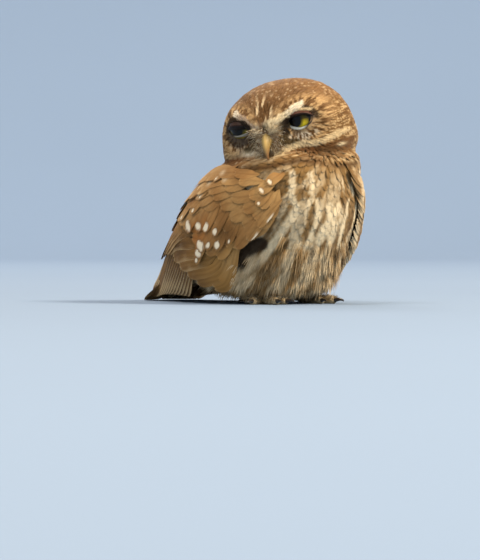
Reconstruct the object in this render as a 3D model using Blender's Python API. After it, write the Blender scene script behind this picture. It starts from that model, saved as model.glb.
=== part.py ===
"""A little owl, life size, crouched at rest with its head turned over its right shoulder.

Metres, +Z up. The body faces -Y, so the owl's own right side is at -X. The floor is
Z = 0: the toes and the tip of the tail rest on it, on small flats. Every size below is in
millimetres, and mesh_object turns millimetres into metres.
"""

import math

import bmesh
import bpy
import numpy as np
from mathutils import Matrix, Vector

MM = 0.001
CLEARANCE = 0.3  # what touching meshes keep between them
RIGHT, LEFT = -1, 1
SIDE_NAMES = {RIGHT: "right", LEFT: "left"}

# Trunk and neck, as level slices: height, middle along X and Y, half width, half depth
TRUNK_SLICES = (
    (8, 0, -6, 12, 14),
    (9.5, 0, -6, 24, 26),
    (13, 0, -4, 33, 35),
    (19, 0, -1, 38.5, 42),
    (28, 0, 1, 40.5, 50.5),
    (40, 0, 0, 41, 56.5),
    (54, 0, -5, 40.5, 56.5),
    (68, 0, -13.5, 39, 49),
    (77, 1, -21, 36.5, 41.5),
    (84, 3.5, -25, 32, 34),
    (90, 4, -25, 25, 27),
    (95, 3, -24, 17, 18),
)
TRUNK_SQUARENESS = 2.2
TRUNK_SIDES = 32
TORSO_TOP = 70

# Head, in its own frame: +X is the owl's left, -Y its face, +Z its crown
HEAD_MIDDLE = (-1, -21.3, 101.4)
HEAD_TURN, HEAD_NOD, HEAD_TILT = 60, 10, 8.4  # degrees: to the right, down, left side up
HEAD_HALF_WIDTH = 37.7
HEAD_FRONT, HEAD_BACK = 31, 31
HEAD_WIDEST = -10  # the height where the head is widest
HEAD_UP, HEAD_DOWN = 35, 17.5  # from there
HEAD_SQUARENESS_UP, HEAD_SQUARENESS_DOWN = 2.25, 3
HEAD_RINGS, HEAD_SIDES = 24, 40

EYE_OUT, EYE_UP, EYE_FORWARD = 17.2, 3, 19.8
EYE_RADIUS = 8.5
EYE_TURN_OUT = 9  # degrees
LID_THICKNESS = 1.0
LID_HALF_WIDTH, LID_HALF_HEIGHT = 7.2, 4.9
LID_SLANT = 12  # degrees, lower towards the bill

# Bill, as a hook on a circle in the head's mid plane
BILL_HOOK_RADIUS = 11
BILL_HOOK_FORWARD, BILL_HOOK_UP = 28.5, -9.5
BILL_START, BILL_END = 100, -30  # degrees round that circle, 0 straight ahead
BILL_HALF_WIDTH, BILL_HALF_HEIGHT = 4.6, 5.4
BILL_POINT = 0.45

# Folded wings and tail lie along one line that drops from the shoulders to the tail tip
SPINE_START = (0, -22, 62)
SPINE_DROP = 26.7  # degrees below level
PLUMAGE_SQUARENESS_BELOW = 2.5
# Outer form round that line: distance along it, half width, radius above, radius below
PLUMAGE_STATIONS = (
    (-45, 12, 8, 14),
    (-30, 28.5, 18, 32),
    (-10, 40.4, 30, 46),
    (10, 45.8, 36, 56),
    (30, 46.7, 34.5, 58),
    (50, 44, 29.5, 55),
    (70, 38, 22.5, 46),
    (90, 30.5, 14.5, 34),
    (110, 21.5, 7.5, 22),
    (126, 15, 3, 13),
)
# Edges of the folded wing on that form: distance along, degrees round at the lower and the upper edge
WING_EDGES = (
    (-26, -18, 3),
    (-20, -29, 12),
    (-10, -33, 23),
    (6, -30, 36),
    (18, -38, 45),
    (32, -45, 54),
    (46, -41, 62),
    (62, -35, 64),
    (80, -31, 58),
    (100, -24, 45),
    (121, -8, 22),
)
WING_CORE_DEPTH = ((-25, 4), (-10, 10), (20, 13), (60, 14), (76, 8), (86, 4), (96, 2.6))
WING_CORE_SINK = 1.0
WING_CORE_RINGS, WING_CORE_SIDES = 12, 8

VANE_STATIONS = ((0, 0.6), (0.5, 1.0), (0.86, 0.8), (1.0, 0.32))
VANE_THICKNESS = 0.9
VANE_CROWN = 0.35
VANE_ROLL = 0.55

# Tiers of the wing: count, share across the wing at root and at tip (lowest, highest feather),
# distance along at root and at tip (lowest, highest feather), width, lift at root and at tip
LESSER_COVERTS = (5, (0.20, 0.80), (0.08, 0.84), (-21, -12), (1, 24), 14, (-2.0, 0.2))
MEDIAN_COVERTS = (6, (0.12, 0.84), (0.10, 0.86), (-16, 16), (8, 46), 12.5, (-2.0, 0.2))
GREATER_COVERTS = (7, (0.12, 0.70), (0.15, 0.78), (-10, 34), (14, 62), 11.5, (-2.2, 0.0))
SECONDARIES = (8, (0.12, 0.62), (0.06, 0.76), (4, 48), (46, 94), 11.5, (-2.4, -0.5))
COVERT_SPREAD = 0.65
PRIMARY_TIPS = (90, 104, 114, 120, 117, 109)
PRIMARY_ROOT_SHARES, PRIMARY_TIP_SHARES = (0.06, 0.44), (0.14, 0.76)
PRIMARY_ROOT, PRIMARY_WIDTH, PRIMARY_LIFTS = 56, 9.5, (-2.6, -0.9)
SCAPULARS = (4, (0.86, 0.90), (0.80, 0.86), (-2, 42), (32, 78), 17, (-2.4, 0.6))

TAIL_ROOT = (0, 41, 36)
TAIL_LENGTH = 70
TAIL_SLOPE_ROOT, TAIL_SLOPE_TIP = 37, 25  # degrees below level
TAIL_PAIRS = 6
TAIL_FAN_FIRST, TAIL_FAN_STEP = 0.9, 1.7  # degrees
TAIL_ROOT_FIRST, TAIL_ROOT_STEP = 2.0, 1.3
TAIL_LAYER_STEP = 0.95
TAIL_ROUNDING = 0.36
TAIL_VANE_WIDTH = 12
TAIL_VANE_THICKNESS = 0.6
# Coverts over the tail's root: distance along, half width, height above and depth below
TAIL_COVERTS = ((-2, 15, 17, 9), (14, 15, 12, 9), (26, 14, 7.5, 8), (38, 11.5, 3.5, 6.5), (46, 7, 1.2, 5))
# The room the wings leave for the tail, in the same terms
TAIL_ROOM = ((-8, 16, 18.5, 10), (14, 17, 13, 10), (26, 19.5, 8.5, 9.5), (38, 21.5, 4.5, 8.5), (74, 28, 1.2, 8.5))

FOOT_OUT, FOOT_ALONG = 17, -19
LEG_SLICES = ((6.55, 6, 7), (8, 8, 10), (11, 9.5, 12), (17, 10, 13))
TOE_BASE_RADIUS, TOE_END_RADIUS = 3.3, 2.5
TOE_SINK = 0.45
# Toes: heading in degrees, 0 straight ahead and positive outwards, and length
TOES = ((-14, 17.5), (12, 19.5), (62, 15), (168, 12))
CLAW_LENGTH, CLAW_RADIUS = 8.5, 1.6


def smooth_at(stations, at):
    """Reads rows of (position, value, ...) at one position, on a smooth curve through them."""
    rows = np.array(stations, float)
    place = rows[:, 0]
    at = min(max(at, place[0]), place[-1])
    slopes = np.gradient(rows[:, 1:], place, axis=0)
    i = min(int(np.searchsorted(place, at, side="right")) - 1, len(place) - 2)
    span = place[i + 1] - place[i]
    t = (at - place[i]) / span
    start = (1 + 2 * t) * (1 - t) ** 2
    end = t * t * (3 - 2 * t)
    leave = t * (1 - t) ** 2 * span
    arrive = -t * t * (1 - t) * span
    return start * rows[i, 1:] + end * rows[i + 1, 1:] + leave * slopes[i] + arrive * slopes[i + 1]


def between(pair, share):
    """The value at a share of the way from the first of a pair to the second."""
    return pair[0] + (pair[1] - pair[0]) * share


def srgb(code):
    """A hex colour as linear red, green, blue and full alpha."""
    values = [int(code[i : i + 2], 16) / 255 for i in (0, 2, 4)]
    return [v / 12.92 if v <= 0.04045 else ((v + 0.055) / 1.055) ** 2.4 for v in values] + [1.0]


def finish(name, code, roughness):
    """A plain surface finish of one colour."""
    made = bpy.data.materials.new(name)
    made.use_nodes = True
    shader = made.node_tree.nodes["Principled BSDF"]
    shader.inputs["Base Color"].default_value = srgb(code)
    shader.inputs["Roughness"].default_value = roughness
    shader.inputs["Metallic"].default_value = 0.0
    made.diffuse_color = srgb(code)
    return made


def mesh_object(name, points, faces, material):
    """An object from points in millimetres, with its faces split into triangles and turned outwards."""
    mesh = bpy.data.meshes.new(name)
    mesh.from_pydata([Vector(p) * MM for p in points], [], faces)
    surface = bmesh.new()
    surface.from_mesh(mesh)
    bmesh.ops.triangulate(surface, faces=surface.faces, quad_method="FIXED", ngon_method="EAR_CLIP")
    bmesh.ops.recalc_face_normals(surface, faces=surface.faces)
    surface.to_mesh(mesh)
    surface.free()
    mesh.materials.append(material)
    made = bpy.data.objects.new(name, mesh)
    bpy.context.scene.collection.objects.link(made)
    return made


def loft(name, rings, material):
    """A closed form through rings with the same number of points, with a flat cap on each end."""
    sides = len(rings[0])
    points = [p for ring in rings for p in ring]
    faces = []
    for r in range(len(rings) - 1):
        for i in range(sides):
            j = (i + 1) % sides
            faces.append((r * sides + i, r * sides + j, (r + 1) * sides + j, (r + 1) * sides + i))
    faces.append(tuple(range(sides)))
    faces.append(tuple((len(rings) - 1) * sides + i for i in range(sides)))
    return mesh_object(name, points, faces, material)


def replace_mesh(obj, surface):
    """Puts an edited surface back into its object."""
    surface.to_mesh(obj.data)
    surface.free()
    obj.data.update()


def apply_modifiers(obj):
    """Makes what the object's modifiers show its own mesh."""
    bpy.context.view_layer.update()
    graph = bpy.context.evaluated_depsgraph_get()
    made = bpy.data.meshes.new_from_object(obj.evaluated_get(graph))
    obj.modifiers.clear()
    obj.data = made


def grown(obj, by=CLEARANCE):
    """A copy of a closed form with its surface moved outwards."""
    copy = obj.copy()
    copy.data = obj.data.copy()
    bpy.context.scene.collection.objects.link(copy)
    surface = bmesh.new()
    surface.from_mesh(copy.data)
    surface.normal_update()
    steps = [v.normal * v.calc_shell_factor() * by * MM for v in surface.verts]
    for vertex, step in zip(surface.verts, steps):
        vertex.co += step
    replace_mesh(copy, surface)
    return copy


def cut(obj, cutter):
    """Takes a cutter's space out of an object and removes the cutter."""
    modifier = obj.modifiers.new("cut", "BOOLEAN")
    modifier.operation = "DIFFERENCE"
    modifier.object = cutter
    apply_modifiers(obj)
    bpy.data.objects.remove(cutter)


def fuse(obj, pieces):
    """Joins closed pieces to an object by one union and removes the pieces."""
    group = bpy.data.collections.new("pieces")
    bpy.context.scene.collection.children.link(group)
    for piece in pieces:
        bpy.context.scene.collection.objects.unlink(piece)
        group.objects.link(piece)
    modifier = obj.modifiers.new("join", "BOOLEAN")
    modifier.operation = "UNION"
    modifier.operand_type = "COLLECTION"
    modifier.collection = group
    apply_modifiers(obj)
    for piece in pieces:
        bpy.data.objects.remove(piece)
    bpy.data.collections.remove(group)


def keep_largest(obj):
    """Drops all but the largest closed surface of an object."""
    surface = bmesh.new()
    surface.from_mesh(obj.data)
    left = set(surface.faces)
    bodies = []
    while left:
        body, reach = set(), [left.pop()]
        while reach:
            face = reach.pop()
            body.add(face)
            for edge in face.edges:
                for other in edge.link_faces:
                    if other in left:
                        left.remove(other)
                        reach.append(other)
        bodies.append(body)

    def room(body):
        return abs(sum(f.verts[0].co.dot(f.normal) * f.calc_area() for f in body))

    bodies.sort(key=room)
    spare = [face for body in bodies[:-1] for face in body]
    bmesh.ops.delete(surface, geom=spare, context="FACES")
    replace_mesh(obj, surface)


def merge_flat_faces(obj):
    """Joins neighbouring faces that lie in one plane, then splits them into fewer triangles."""
    surface = bmesh.new()
    surface.from_mesh(obj.data)
    bmesh.ops.dissolve_limit(surface, angle_limit=math.radians(0.2), verts=surface.verts, edges=surface.edges)
    bmesh.ops.triangulate(surface, faces=surface.faces)
    replace_mesh(obj, surface)


def rest_on_floor(obj):
    """Cuts an object off flat at the floor."""
    size = 300
    corners = [(x * size, y * size, z) for z in (-20, 0) for y in (-1, 1) for x in (-1, 1)]
    sides = [(0, 1, 3, 2), (4, 6, 7, 5), (0, 4, 5, 1), (2, 3, 7, 6), (0, 2, 6, 4), (1, 5, 7, 3)]
    cut(obj, mesh_object("below_floor", corners, sides, obj.data.materials[0]))


def smooth_shaded(obj, angle=40):
    """Shades round forms smooth and keeps the sharper edges."""
    obj.data.shade_smooth()
    obj.data.set_sharp_from_angle(angle=math.radians(angle))


def oval(middle, half_width, half_depth, height, sides, squareness=TRUNK_SQUARENESS):
    """A level ring, a little squarer than an ellipse."""
    ring = []
    for i in range(sides):
        angle = 2 * math.pi * i / sides
        c, s = math.cos(angle), math.sin(angle)
        x = half_width * math.copysign(abs(c) ** (2 / squareness), c)
        y = half_depth * math.copysign(abs(s) ** (2 / squareness), s)
        ring.append((middle[0] + x, middle[1] + y, height))
    return ring


# Trunk


def trunk_ring(height):
    x, y, half_width, half_depth = smooth_at(TRUNK_SLICES, height)
    return oval((x, y), half_width, half_depth, height, TRUNK_SIDES)


def trunk_form(name, low, high, rings, material):
    """The trunk and neck between two heights, with rings closer together near the belly."""
    heights = [low + (high - low) * (i / (rings - 1)) for i in range(rings)]
    return loft(name, [trunk_ring(h) for h in heights], material)


# Head


def head_matrix():
    turn = Matrix.Rotation(math.radians(-HEAD_TURN), 4, "Z")
    nod = Matrix.Rotation(math.radians(HEAD_NOD), 4, "X")
    tilt = Matrix.Rotation(math.radians(-HEAD_TILT), 4, "Y")
    return Matrix.Translation(HEAD_MIDDLE) @ turn @ nod @ tilt


HEAD_FRAME = head_matrix()


def bell(distance, width):
    """A smooth bump of height 1."""
    return math.exp(-0.5 * (distance / width) ** 2)


def distance_to_line(x, z, start, end):
    """How far a point of the face is from a straight stretch across it."""
    along = Vector(end) - Vector(start)
    share = (Vector((x, z)) - Vector(start)).dot(along) / along.length_squared
    nearest = Vector(start) + along * min(max(share, 0), 1)
    return (Vector((x, z)) - nearest).length


def face_relief(x, z):
    """How far the face stands forward of the plain head: eye dishes, frowning brows, bristles, disc rim."""
    out = abs(x)
    dish = -3.4 * bell(math.hypot(out - EYE_OUT, z - EYE_UP), 8)
    forehead = 3.6 * bell(z - 8, 9) * bell(x, 26)
    brow = 3.4 * bell(distance_to_line(out, z, (4, 4), (26, 13.5)), 3.2)
    bristles = 3.6 * bell(x, 5) * bell(z + 7, 8)
    rim_distance = math.hypot(out - 11, (z + 2) * 1.12)
    rim = 1.7 * bell(rim_distance - 22, 2.4) * (1 if z < 2 else bell(z - 2, 6))
    return dish + forehead + brow + bristles + rim


def head_point(from_front, around):
    """A point of the head, by its angle from the middle of the face and its angle round it."""
    x = math.sin(from_front) * math.cos(around)
    y = -math.cos(from_front)
    z = math.sin(from_front) * math.sin(around)
    reach = (
        HEAD_HALF_WIDTH,
        HEAD_FRONT if y < 0 else HEAD_BACK,
        HEAD_UP if z > 0 else HEAD_DOWN,
    )
    squareness = between((HEAD_SQUARENESS_UP, HEAD_SQUARENESS_DOWN), min(max(0.3 - 2 * z, 0), 1))
    spread = sum(abs(v / r) ** squareness for v, r in zip((x, y, z), reach))
    radius = spread ** (-1 / squareness)
    point = Vector((x, y, z)) * radius + Vector((0, 0, HEAD_WIDEST))
    ahead = min(max(-y / 0.45, 0), 1)
    point.y -= face_relief(point.x, point.z) * ahead * ahead * (3 - 2 * ahead)
    return HEAD_FRAME @ point


def head_form(material):
    """The head from rings round the line from the bill to the nape."""
    rings = []
    for i in range(HEAD_RINGS):
        share = (i + 0.35) / (HEAD_RINGS - 0.3)
        from_front = math.pi * share ** 1.3
        ring = [head_point(from_front, 2 * math.pi * j / HEAD_SIDES) for j in range(HEAD_SIDES)]
        rings.append(ring)
    return loft("head", rings, material)


def eye_frame(side):
    """The frame of one eye: its middle, with -Y along its gaze."""
    place = Matrix.Translation((side * EYE_OUT, -EYE_FORWARD, EYE_UP))
    return HEAD_FRAME @ place @ Matrix.Rotation(math.radians(side * EYE_TURN_OUT), 4, "Z")


def ball(name, frame, radius, material, fineness=2):
    """A faceted ball."""
    surface = bmesh.new()
    bmesh.ops.create_icosphere(surface, subdivisions=fineness + 1, radius=radius)
    points = [frame @ v.co for v in surface.verts]
    faces = [[v.index for v in f.verts] for f in surface.faces]
    surface.free()
    return mesh_object(name, points, faces, material)


def lid_opening(side, material):
    """The slot between the lids: an upright oval prism along the gaze, slanting down to the bill."""
    slant = Matrix.Rotation(math.radians(-side * LID_SLANT), 4, "Y")
    frame = eye_frame(side) @ slant
    rings = []
    for forward in (EYE_RADIUS * 0.25, EYE_RADIUS * 3):
        ring = []
        for i in range(18):
            angle = 2 * math.pi * i / 18
            up = LID_HALF_HEIGHT * (0.78 if math.sin(angle) > 0 else 1)
            ring.append(frame @ Vector((LID_HALF_WIDTH * math.cos(angle), -forward, up * math.sin(angle))))
        rings.append(ring)
    return loft("opening", rings, material)


def bill_ring(share, half_width, half_height, radius_out):
    """One ring across the hooked bill."""
    angle = math.radians(between((BILL_START, BILL_END), share))
    middle = radius_out - half_height
    ring = []
    for i in range(12):
        turn = 2 * math.pi * i / 12
        radial = middle + half_height * math.cos(turn)
        forward = BILL_HOOK_FORWARD + radial * math.cos(angle)
        up = BILL_HOOK_UP + radial * math.sin(angle)
        keel = 1 - 0.35 * max(math.cos(turn), 0)
        ring.append(HEAD_FRAME @ Vector((half_width * keel * math.sin(turn), -forward, up)))
    return ring


def upper_bill(material):
    rings = []
    for i in range(8):
        share = i / 7
        left = 1 - share ** 1.5
        width = BILL_POINT + (BILL_HALF_WIDTH - BILL_POINT) * left
        height = BILL_POINT + (BILL_HALF_HEIGHT - BILL_POINT) * left
        rings.append(bill_ring(share, width, height, BILL_HOOK_RADIUS))
    return loft("bill_upper", rings, material)


def nostril(side, material):
    """The pit of one nostril, near the bill's root."""
    angle = math.radians(58)
    radial = BILL_HOOK_RADIUS - 3.2
    place = (side * 3.9, -BILL_HOOK_FORWARD - radial * math.cos(angle), BILL_HOOK_UP + radial * math.sin(angle))
    return ball("nostril", HEAD_FRAME @ Matrix.Translation(place), 0.9, material, 1)


def lower_bill(material):
    """The lower mandible, a short scoop tucked behind the hook."""
    rings = []
    for i in range(6):
        share = i / 5
        forward = between((25, 37), share)
        up = between((-17.5, -15.2), share)
        half_width = between((3.7, 1.0), share ** 1.6)
        half_height = between((4.4, 1.0), share ** 1.4)
        ring = []
        for j in range(10):
            turn = 2 * math.pi * j / 10
            ring.append(HEAD_FRAME @ Vector((half_width * math.cos(turn), -forward, up + half_height * math.sin(turn))))
        rings.append(ring)
    return loft("bill_lower", rings, material)


# Wings


def plumage_point(side, along, round_degrees, lift):
    """A point on the outer form of the folded plumage, lifted off it."""
    half_width, above, below = smooth_at(PLUMAGE_STATIONS, along)
    angle = math.radians(round_degrees)
    squareness = 2 if angle > 0 else PLUMAGE_SQUARENESS_BELOW
    out = math.cos(angle) ** (2 / squareness)
    up = math.copysign(abs(math.sin(angle)) ** (2 / squareness), angle)
    x = (half_width + lift) * out
    rise = ((above if angle > 0 else below) + lift) * up
    drop = math.radians(SPINE_DROP)
    y = SPINE_START[1] + along * math.cos(drop) + rise * math.sin(drop)
    z = SPINE_START[2] - along * math.sin(drop) + rise * math.cos(drop)
    return Vector((side * x, y, z))


def wing_point(side, along, share, lift):
    """A point on the folded wing, by its distance along and its share of the way up across it."""
    low, high = smooth_at(WING_EDGES, along)
    return plumage_point(side, along, low + (high - low) * share, lift)


def vane(place, width, thickness, material, lifts=(0, 0), roll=VANE_ROLL, across=(-1, 0, 1)):
    """One feather: place(share along, offset across, lift) gives its points. Both faces split alike."""
    points, faces = [], []
    n = len(across)
    for share, fullness in VANE_STATIONS:
        lift = between(lifts, share)
        for drop in (0, thickness):
            for step in across:
                crown = VANE_CROWN if step == 0 else 0
                points.append(place(share, step * fullness * width / 2, lift + crown - step * roll - drop))
    last = len(VANE_STATIONS) - 1
    for i in range(last):
        top = i * 2 * n
        for start in (top, top + n):
            for j in range(start, start + n - 1):
                faces += [(j, j + 1, j + 2 * n + 1), (j, j + 2 * n + 1, j + 2 * n)]
        for j in (top, top + n - 1):
            faces += [(j, j + n, j + 3 * n), (j, j + 3 * n, j + 2 * n)]
    for base in (0, last * 2 * n):
        for j in range(base, base + n - 1):
            faces += [(j, j + 1, j + n + 1), (j, j + n + 1, j + n)]
    return mesh_object("vane", points, faces, material)


def wing_vane(side, root, tip, width, lifts, material, across=(-1, 0, 1)):
    """A feather on the folded wing from its root to its tip, each given as distance along and share across."""

    def place(share, offset, lift):
        along = between((root[0], tip[0]), share)
        across = between((root[1], tip[1]), share)
        low, high = smooth_at(WING_EDGES, along)
        degrees = low + (high - low) * across
        here = plumage_point(side, along, degrees, lift)
        next_point = plumage_point(side, along, degrees + 1, lift)
        return plumage_point(side, along, degrees + offset / (next_point - here).length, lift)

    return vane(place, width, VANE_THICKNESS, material, lifts, VANE_ROLL, across)


def wing_tier(side, tier, material, across=(-1, 1)):
    """One row of like feathers across the wing."""
    count, root_shares, tip_shares, roots, tips, width, lifts = tier
    made = []
    for i in range(count):
        step = i / (count - 1)
        root = (between(roots, step**COVERT_SPREAD), between(root_shares, step))
        tip = (between(tips, step**COVERT_SPREAD), between(tip_shares, step))
        made.append(wing_vane(side, root, tip, width, lifts, material, across))
    return made


def primaries(side, material):
    """The long outer flight feathers, which make the wing's point."""
    made = []
    for i, reach in enumerate(PRIMARY_TIPS):
        step = i / (len(PRIMARY_TIPS) - 1)
        root = (PRIMARY_ROOT, between(PRIMARY_ROOT_SHARES, step))
        tip = (reach, between(PRIMARY_TIP_SHARES, step))
        made.append(wing_vane(side, root, tip, PRIMARY_WIDTH, PRIMARY_LIFTS, material))
    return made


def wing_core(side, material):
    """The body of the folded wing under its feathers, a shield bent round the trunk."""
    first, last = WING_CORE_DEPTH[0][0], WING_CORE_DEPTH[-1][0]
    rings = []
    for i in range(WING_CORE_RINGS):
        along = between((first, last), i / (WING_CORE_RINGS - 1))
        depth = smooth_at(WING_CORE_DEPTH, along)[0]
        shares = [0.03 + 0.94 * j / (WING_CORE_SIDES - 1) for j in range(WING_CORE_SIDES)]
        outer = [wing_point(side, along, s, -WING_CORE_SINK) for s in shares]
        inner = [wing_point(side, along, s, -WING_CORE_SINK - depth) for s in reversed(shares)]
        rings.append(outer + inner)
    return loft("wing_" + SIDE_NAMES[side], rings, material)


def wing(side, trunk, head, material):
    """A folded wing: its body and its tiers of feathers, fitted to the trunk and clear of the head."""
    made = wing_core(side, material)
    feathers = primaries(side, material) + wing_tier(side, SECONDARIES, material, (-1, 0, 1))
    for tier in (GREATER_COVERTS, MEDIAN_COVERTS, LESSER_COVERTS, SCAPULARS):
        feathers += wing_tier(side, tier, material)
    fuse(made, feathers)
    cut(made, grown(trunk))
    cut(made, grown(head))
    cut(made, tail_form("tail_room", TAIL_ROOM, 6, material))
    keep_largest(made)
    merge_flat_faces(made)
    return made


# Tail


def tail_place(along, across, lift):
    """A point of the tail, by distance from its root, offset across it and height off its plane."""
    slope = math.radians(between((TAIL_SLOPE_ROOT, TAIL_SLOPE_TIP), along / TAIL_LENGTH / 2))
    y = TAIL_ROOT[1] + along * math.cos(slope) + lift * math.sin(slope)
    z = TAIL_ROOT[2] - along * math.sin(slope) + lift * math.cos(slope)
    return Vector((across, y, z))


def tail_vane(side, pair, material):
    """One tail feather. The middle pair lies on top, and each pair outwards lies one layer lower."""
    fan = math.radians(TAIL_FAN_FIRST + pair * TAIL_FAN_STEP)
    root_across = TAIL_ROOT_FIRST + pair * TAIL_ROOT_STEP
    length = TAIL_LENGTH - TAIL_ROUNDING * pair**2
    layer = -(2 * pair + (side == LEFT)) * TAIL_LAYER_STEP / 2

    def place(share, offset, lift):
        along = length * share
        across = root_across + along * math.sin(fan) + offset
        return tail_place(along * math.cos(fan), side * across, lift + layer)

    return vane(place, TAIL_VANE_WIDTH, TAIL_VANE_THICKNESS, material, roll=0, across=(-1, 1))


def tail_form(name, stations, squareness, material):
    """A form lofted along the tail."""
    rings = []
    for along, half_width, above, below in stations:
        ring = []
        for x, y, _ in oval((0, 0), 1, 1, 0, 16, squareness):
            ring.append(tail_place(along, half_width * x, y * (above if y > 0 else below)))
        rings.append(ring)
    return loft(name, rings, material)


def tail(trunk, material):
    """The tail: two fans of six feathers, their roots held in the coverts above and below."""
    made = tail_form("tail", TAIL_COVERTS, 2, material)
    fuse(made, [tail_vane(side, pair, material) for pair in range(TAIL_PAIRS) for side in (RIGHT, LEFT)])
    cut(made, grown(trunk))
    rest_on_floor(made)
    keep_largest(made)
    return made


# Legs


def tube(name, path, radii, material, sides=7):
    """A tapered round bar along a path, with flat ends."""
    rings = []
    for i, point in enumerate(path):
        ahead = path[min(i + 1, len(path) - 1)] - path[max(i - 1, 0)]
        frame = ahead.to_track_quat("Z", "Y").to_matrix()
        ring = []
        for j in range(sides):
            turn = 2 * math.pi * (j + 0.5) / sides
            ring.append(point + frame @ Vector((radii[i] * math.cos(turn), radii[i] * math.sin(turn), 0)))
        rings.append(ring)
    return loft(name, rings, material)


def toe_heading(side, degrees):
    angle = math.radians(degrees)
    return Vector((side * math.sin(angle), -math.cos(angle), 0))


def toe_path(side, heading, length):
    """A toe's line from under the leg to the claw, arched a little over its joints."""
    start = Vector((side * FOOT_OUT, FOOT_ALONG, 0))
    path, radii = [], []
    for i in range(4):
        share = i / 3
        radius = between((TOE_BASE_RADIUS, TOE_END_RADIUS), share)
        arch = 0.8 * math.sin(math.pi * share) ** 2
        path.append(start + toe_heading(side, heading) * length * share + Vector((0, 0, radius - TOE_SINK + arch * 0.2)))
        radii.append(radius)
    return path, radii


def foot(side, material):
    """A foot: a pad and four toes, resting flat on the floor."""
    middle = Vector((side * FOOT_OUT, FOOT_ALONG, TOE_BASE_RADIUS))
    made = ball("foot_" + SIDE_NAMES[side], Matrix.Translation(middle) @ Matrix.Diagonal((1.2, 1.2, 0.64, 1)), 4.6, material, 1)
    toes = []
    for heading, length in TOES:
        path, radii = toe_path(side, heading, length)
        toes.append(tube("toe", path, radii, material))
    fuse(made, toes)
    rest_on_floor(made)
    keep_largest(made)
    return made


def claw(side, number, material):
    """A claw: a curved point that leaves the end of its toe and comes down to the floor."""
    heading, length = TOES[number]
    path, radii = toe_path(side, heading, length)
    ahead = (path[-1] - path[-2]).normalized()
    start = path[-1] + ahead * CLEARANCE
    points, sizes = [], []
    for i in range(5):
        share = i / 4
        bend = math.radians(68) * share
        radius = CLAW_LENGTH / math.radians(68)
        point = start + ahead * radius * math.sin(bend) * 0.9
        rise = 1.1 * math.sin(math.pi * share * 0.6)
        point.z += rise - (start.z - 0.9) * share**1.5
        points.append(point)
        sizes.append(between((CLAW_RADIUS, 0.35), share))
    return tube(f"claw_{SIDE_NAMES[side]}_{number + 1}", points, sizes, material, 6)


def leg(side, trunk, material):
    """A feathered shank from the belly down to the toes."""
    rings = []
    for height, half_width, half_depth in LEG_SLICES:
        rings.append(oval((side * FOOT_OUT, FOOT_ALONG + 5), half_width, half_depth, height, 14, 2))
    made = loft("leg_" + SIDE_NAMES[side], rings, material)
    cut(made, grown(trunk))
    keep_largest(made)
    return made


# The whole owl


def centre_on_floor(objects):
    """Slides everything level, so that the middle of the bounding box stands over the origin."""
    points = np.array([v.co for obj in objects for v in obj.data.vertices])
    middle = (points.min(axis=0) + points.max(axis=0)) / 2
    for obj in objects:
        obj.data.transform(Matrix.Translation((-middle[0], -middle[1], 0)))


def build():
    for old in list(bpy.data.objects):
        bpy.data.objects.remove(old)
    plumage = finish("brown plumage", "7A5C3E", 0.9)
    breast = finish("streaked plumage", "C9B088", 0.9)
    horn = finish("bill horn", "D2B25A", 0.45)
    claw_horn = finish("claw horn", "2B2420", 0.35)
    skin = finish("toe skin", "A99A77", 0.7)
    eye = finish("eye", "E3C81E", 0.08)

    trunk = trunk_form("trunk", TRUNK_SLICES[0][0], TRUNK_SLICES[-1][0], 24, breast)
    torso = trunk_form("torso", TRUNK_SLICES[0][0], TORSO_TOP - CLEARANCE / 2, 16, breast)
    neck = trunk_form("neck", TORSO_TOP + CLEARANCE / 2, TRUNK_SLICES[-1][0], 7, breast)
    plain_head = head_form(plumage)

    cut(neck, grown(plain_head))
    keep_largest(neck)

    head = plain_head.copy()
    head.data = plain_head.data.copy()
    bpy.context.scene.collection.objects.link(head)
    plain_head.name = "plain_head"
    head.name = "head"
    fuse(head, [ball("lids", eye_frame(side), EYE_RADIUS + CLEARANCE + LID_THICKNESS, plumage) for side in SIDE_NAMES])
    for side, name in SIDE_NAMES.items():
        cut(head, lid_opening(side, plumage))
        cut(head, ball("socket", eye_frame(side), EYE_RADIUS + 1.5 * CLEARANCE, plumage))
        smooth_shaded(ball("eye_" + name, eye_frame(side), EYE_RADIUS, eye))
    keep_largest(head)

    bill_above = upper_bill(horn)
    bill_below = lower_bill(horn)
    cut(bill_below, grown(bill_above))
    for side in SIDE_NAMES:
        cut(bill_above, nostril(side, horn))
    for piece in (bill_above, bill_below):
        cut(piece, grown(plain_head))
        keep_largest(piece)
        cut(neck, grown(piece))
        smooth_shaded(piece)
    keep_largest(neck)

    wings = [wing(side, trunk, plain_head, plumage) for side in SIDE_NAMES]
    tail_fan = tail(trunk, plumage)

    for side in SIDE_NAMES:
        toes = foot(side, skin)
        smooth_shaded(leg(side, trunk, breast))
        smooth_shaded(toes)
        for number in range(len(TOES)):
            smooth_shaded(claw(side, number, claw_horn))
    for piece in (torso, neck, head, tail_fan, *wings):
        smooth_shaded(piece)
    bpy.data.objects.remove(trunk)
    bpy.data.objects.remove(plain_head)
    centre_on_floor(list(bpy.data.objects))


build()
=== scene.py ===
import math
import bmesh
import bpy
import numpy as np
from mathutils import Matrix, Vector
from mathutils.bvhtree import BVHTree
from mathutils.kdtree import KDTree


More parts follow.
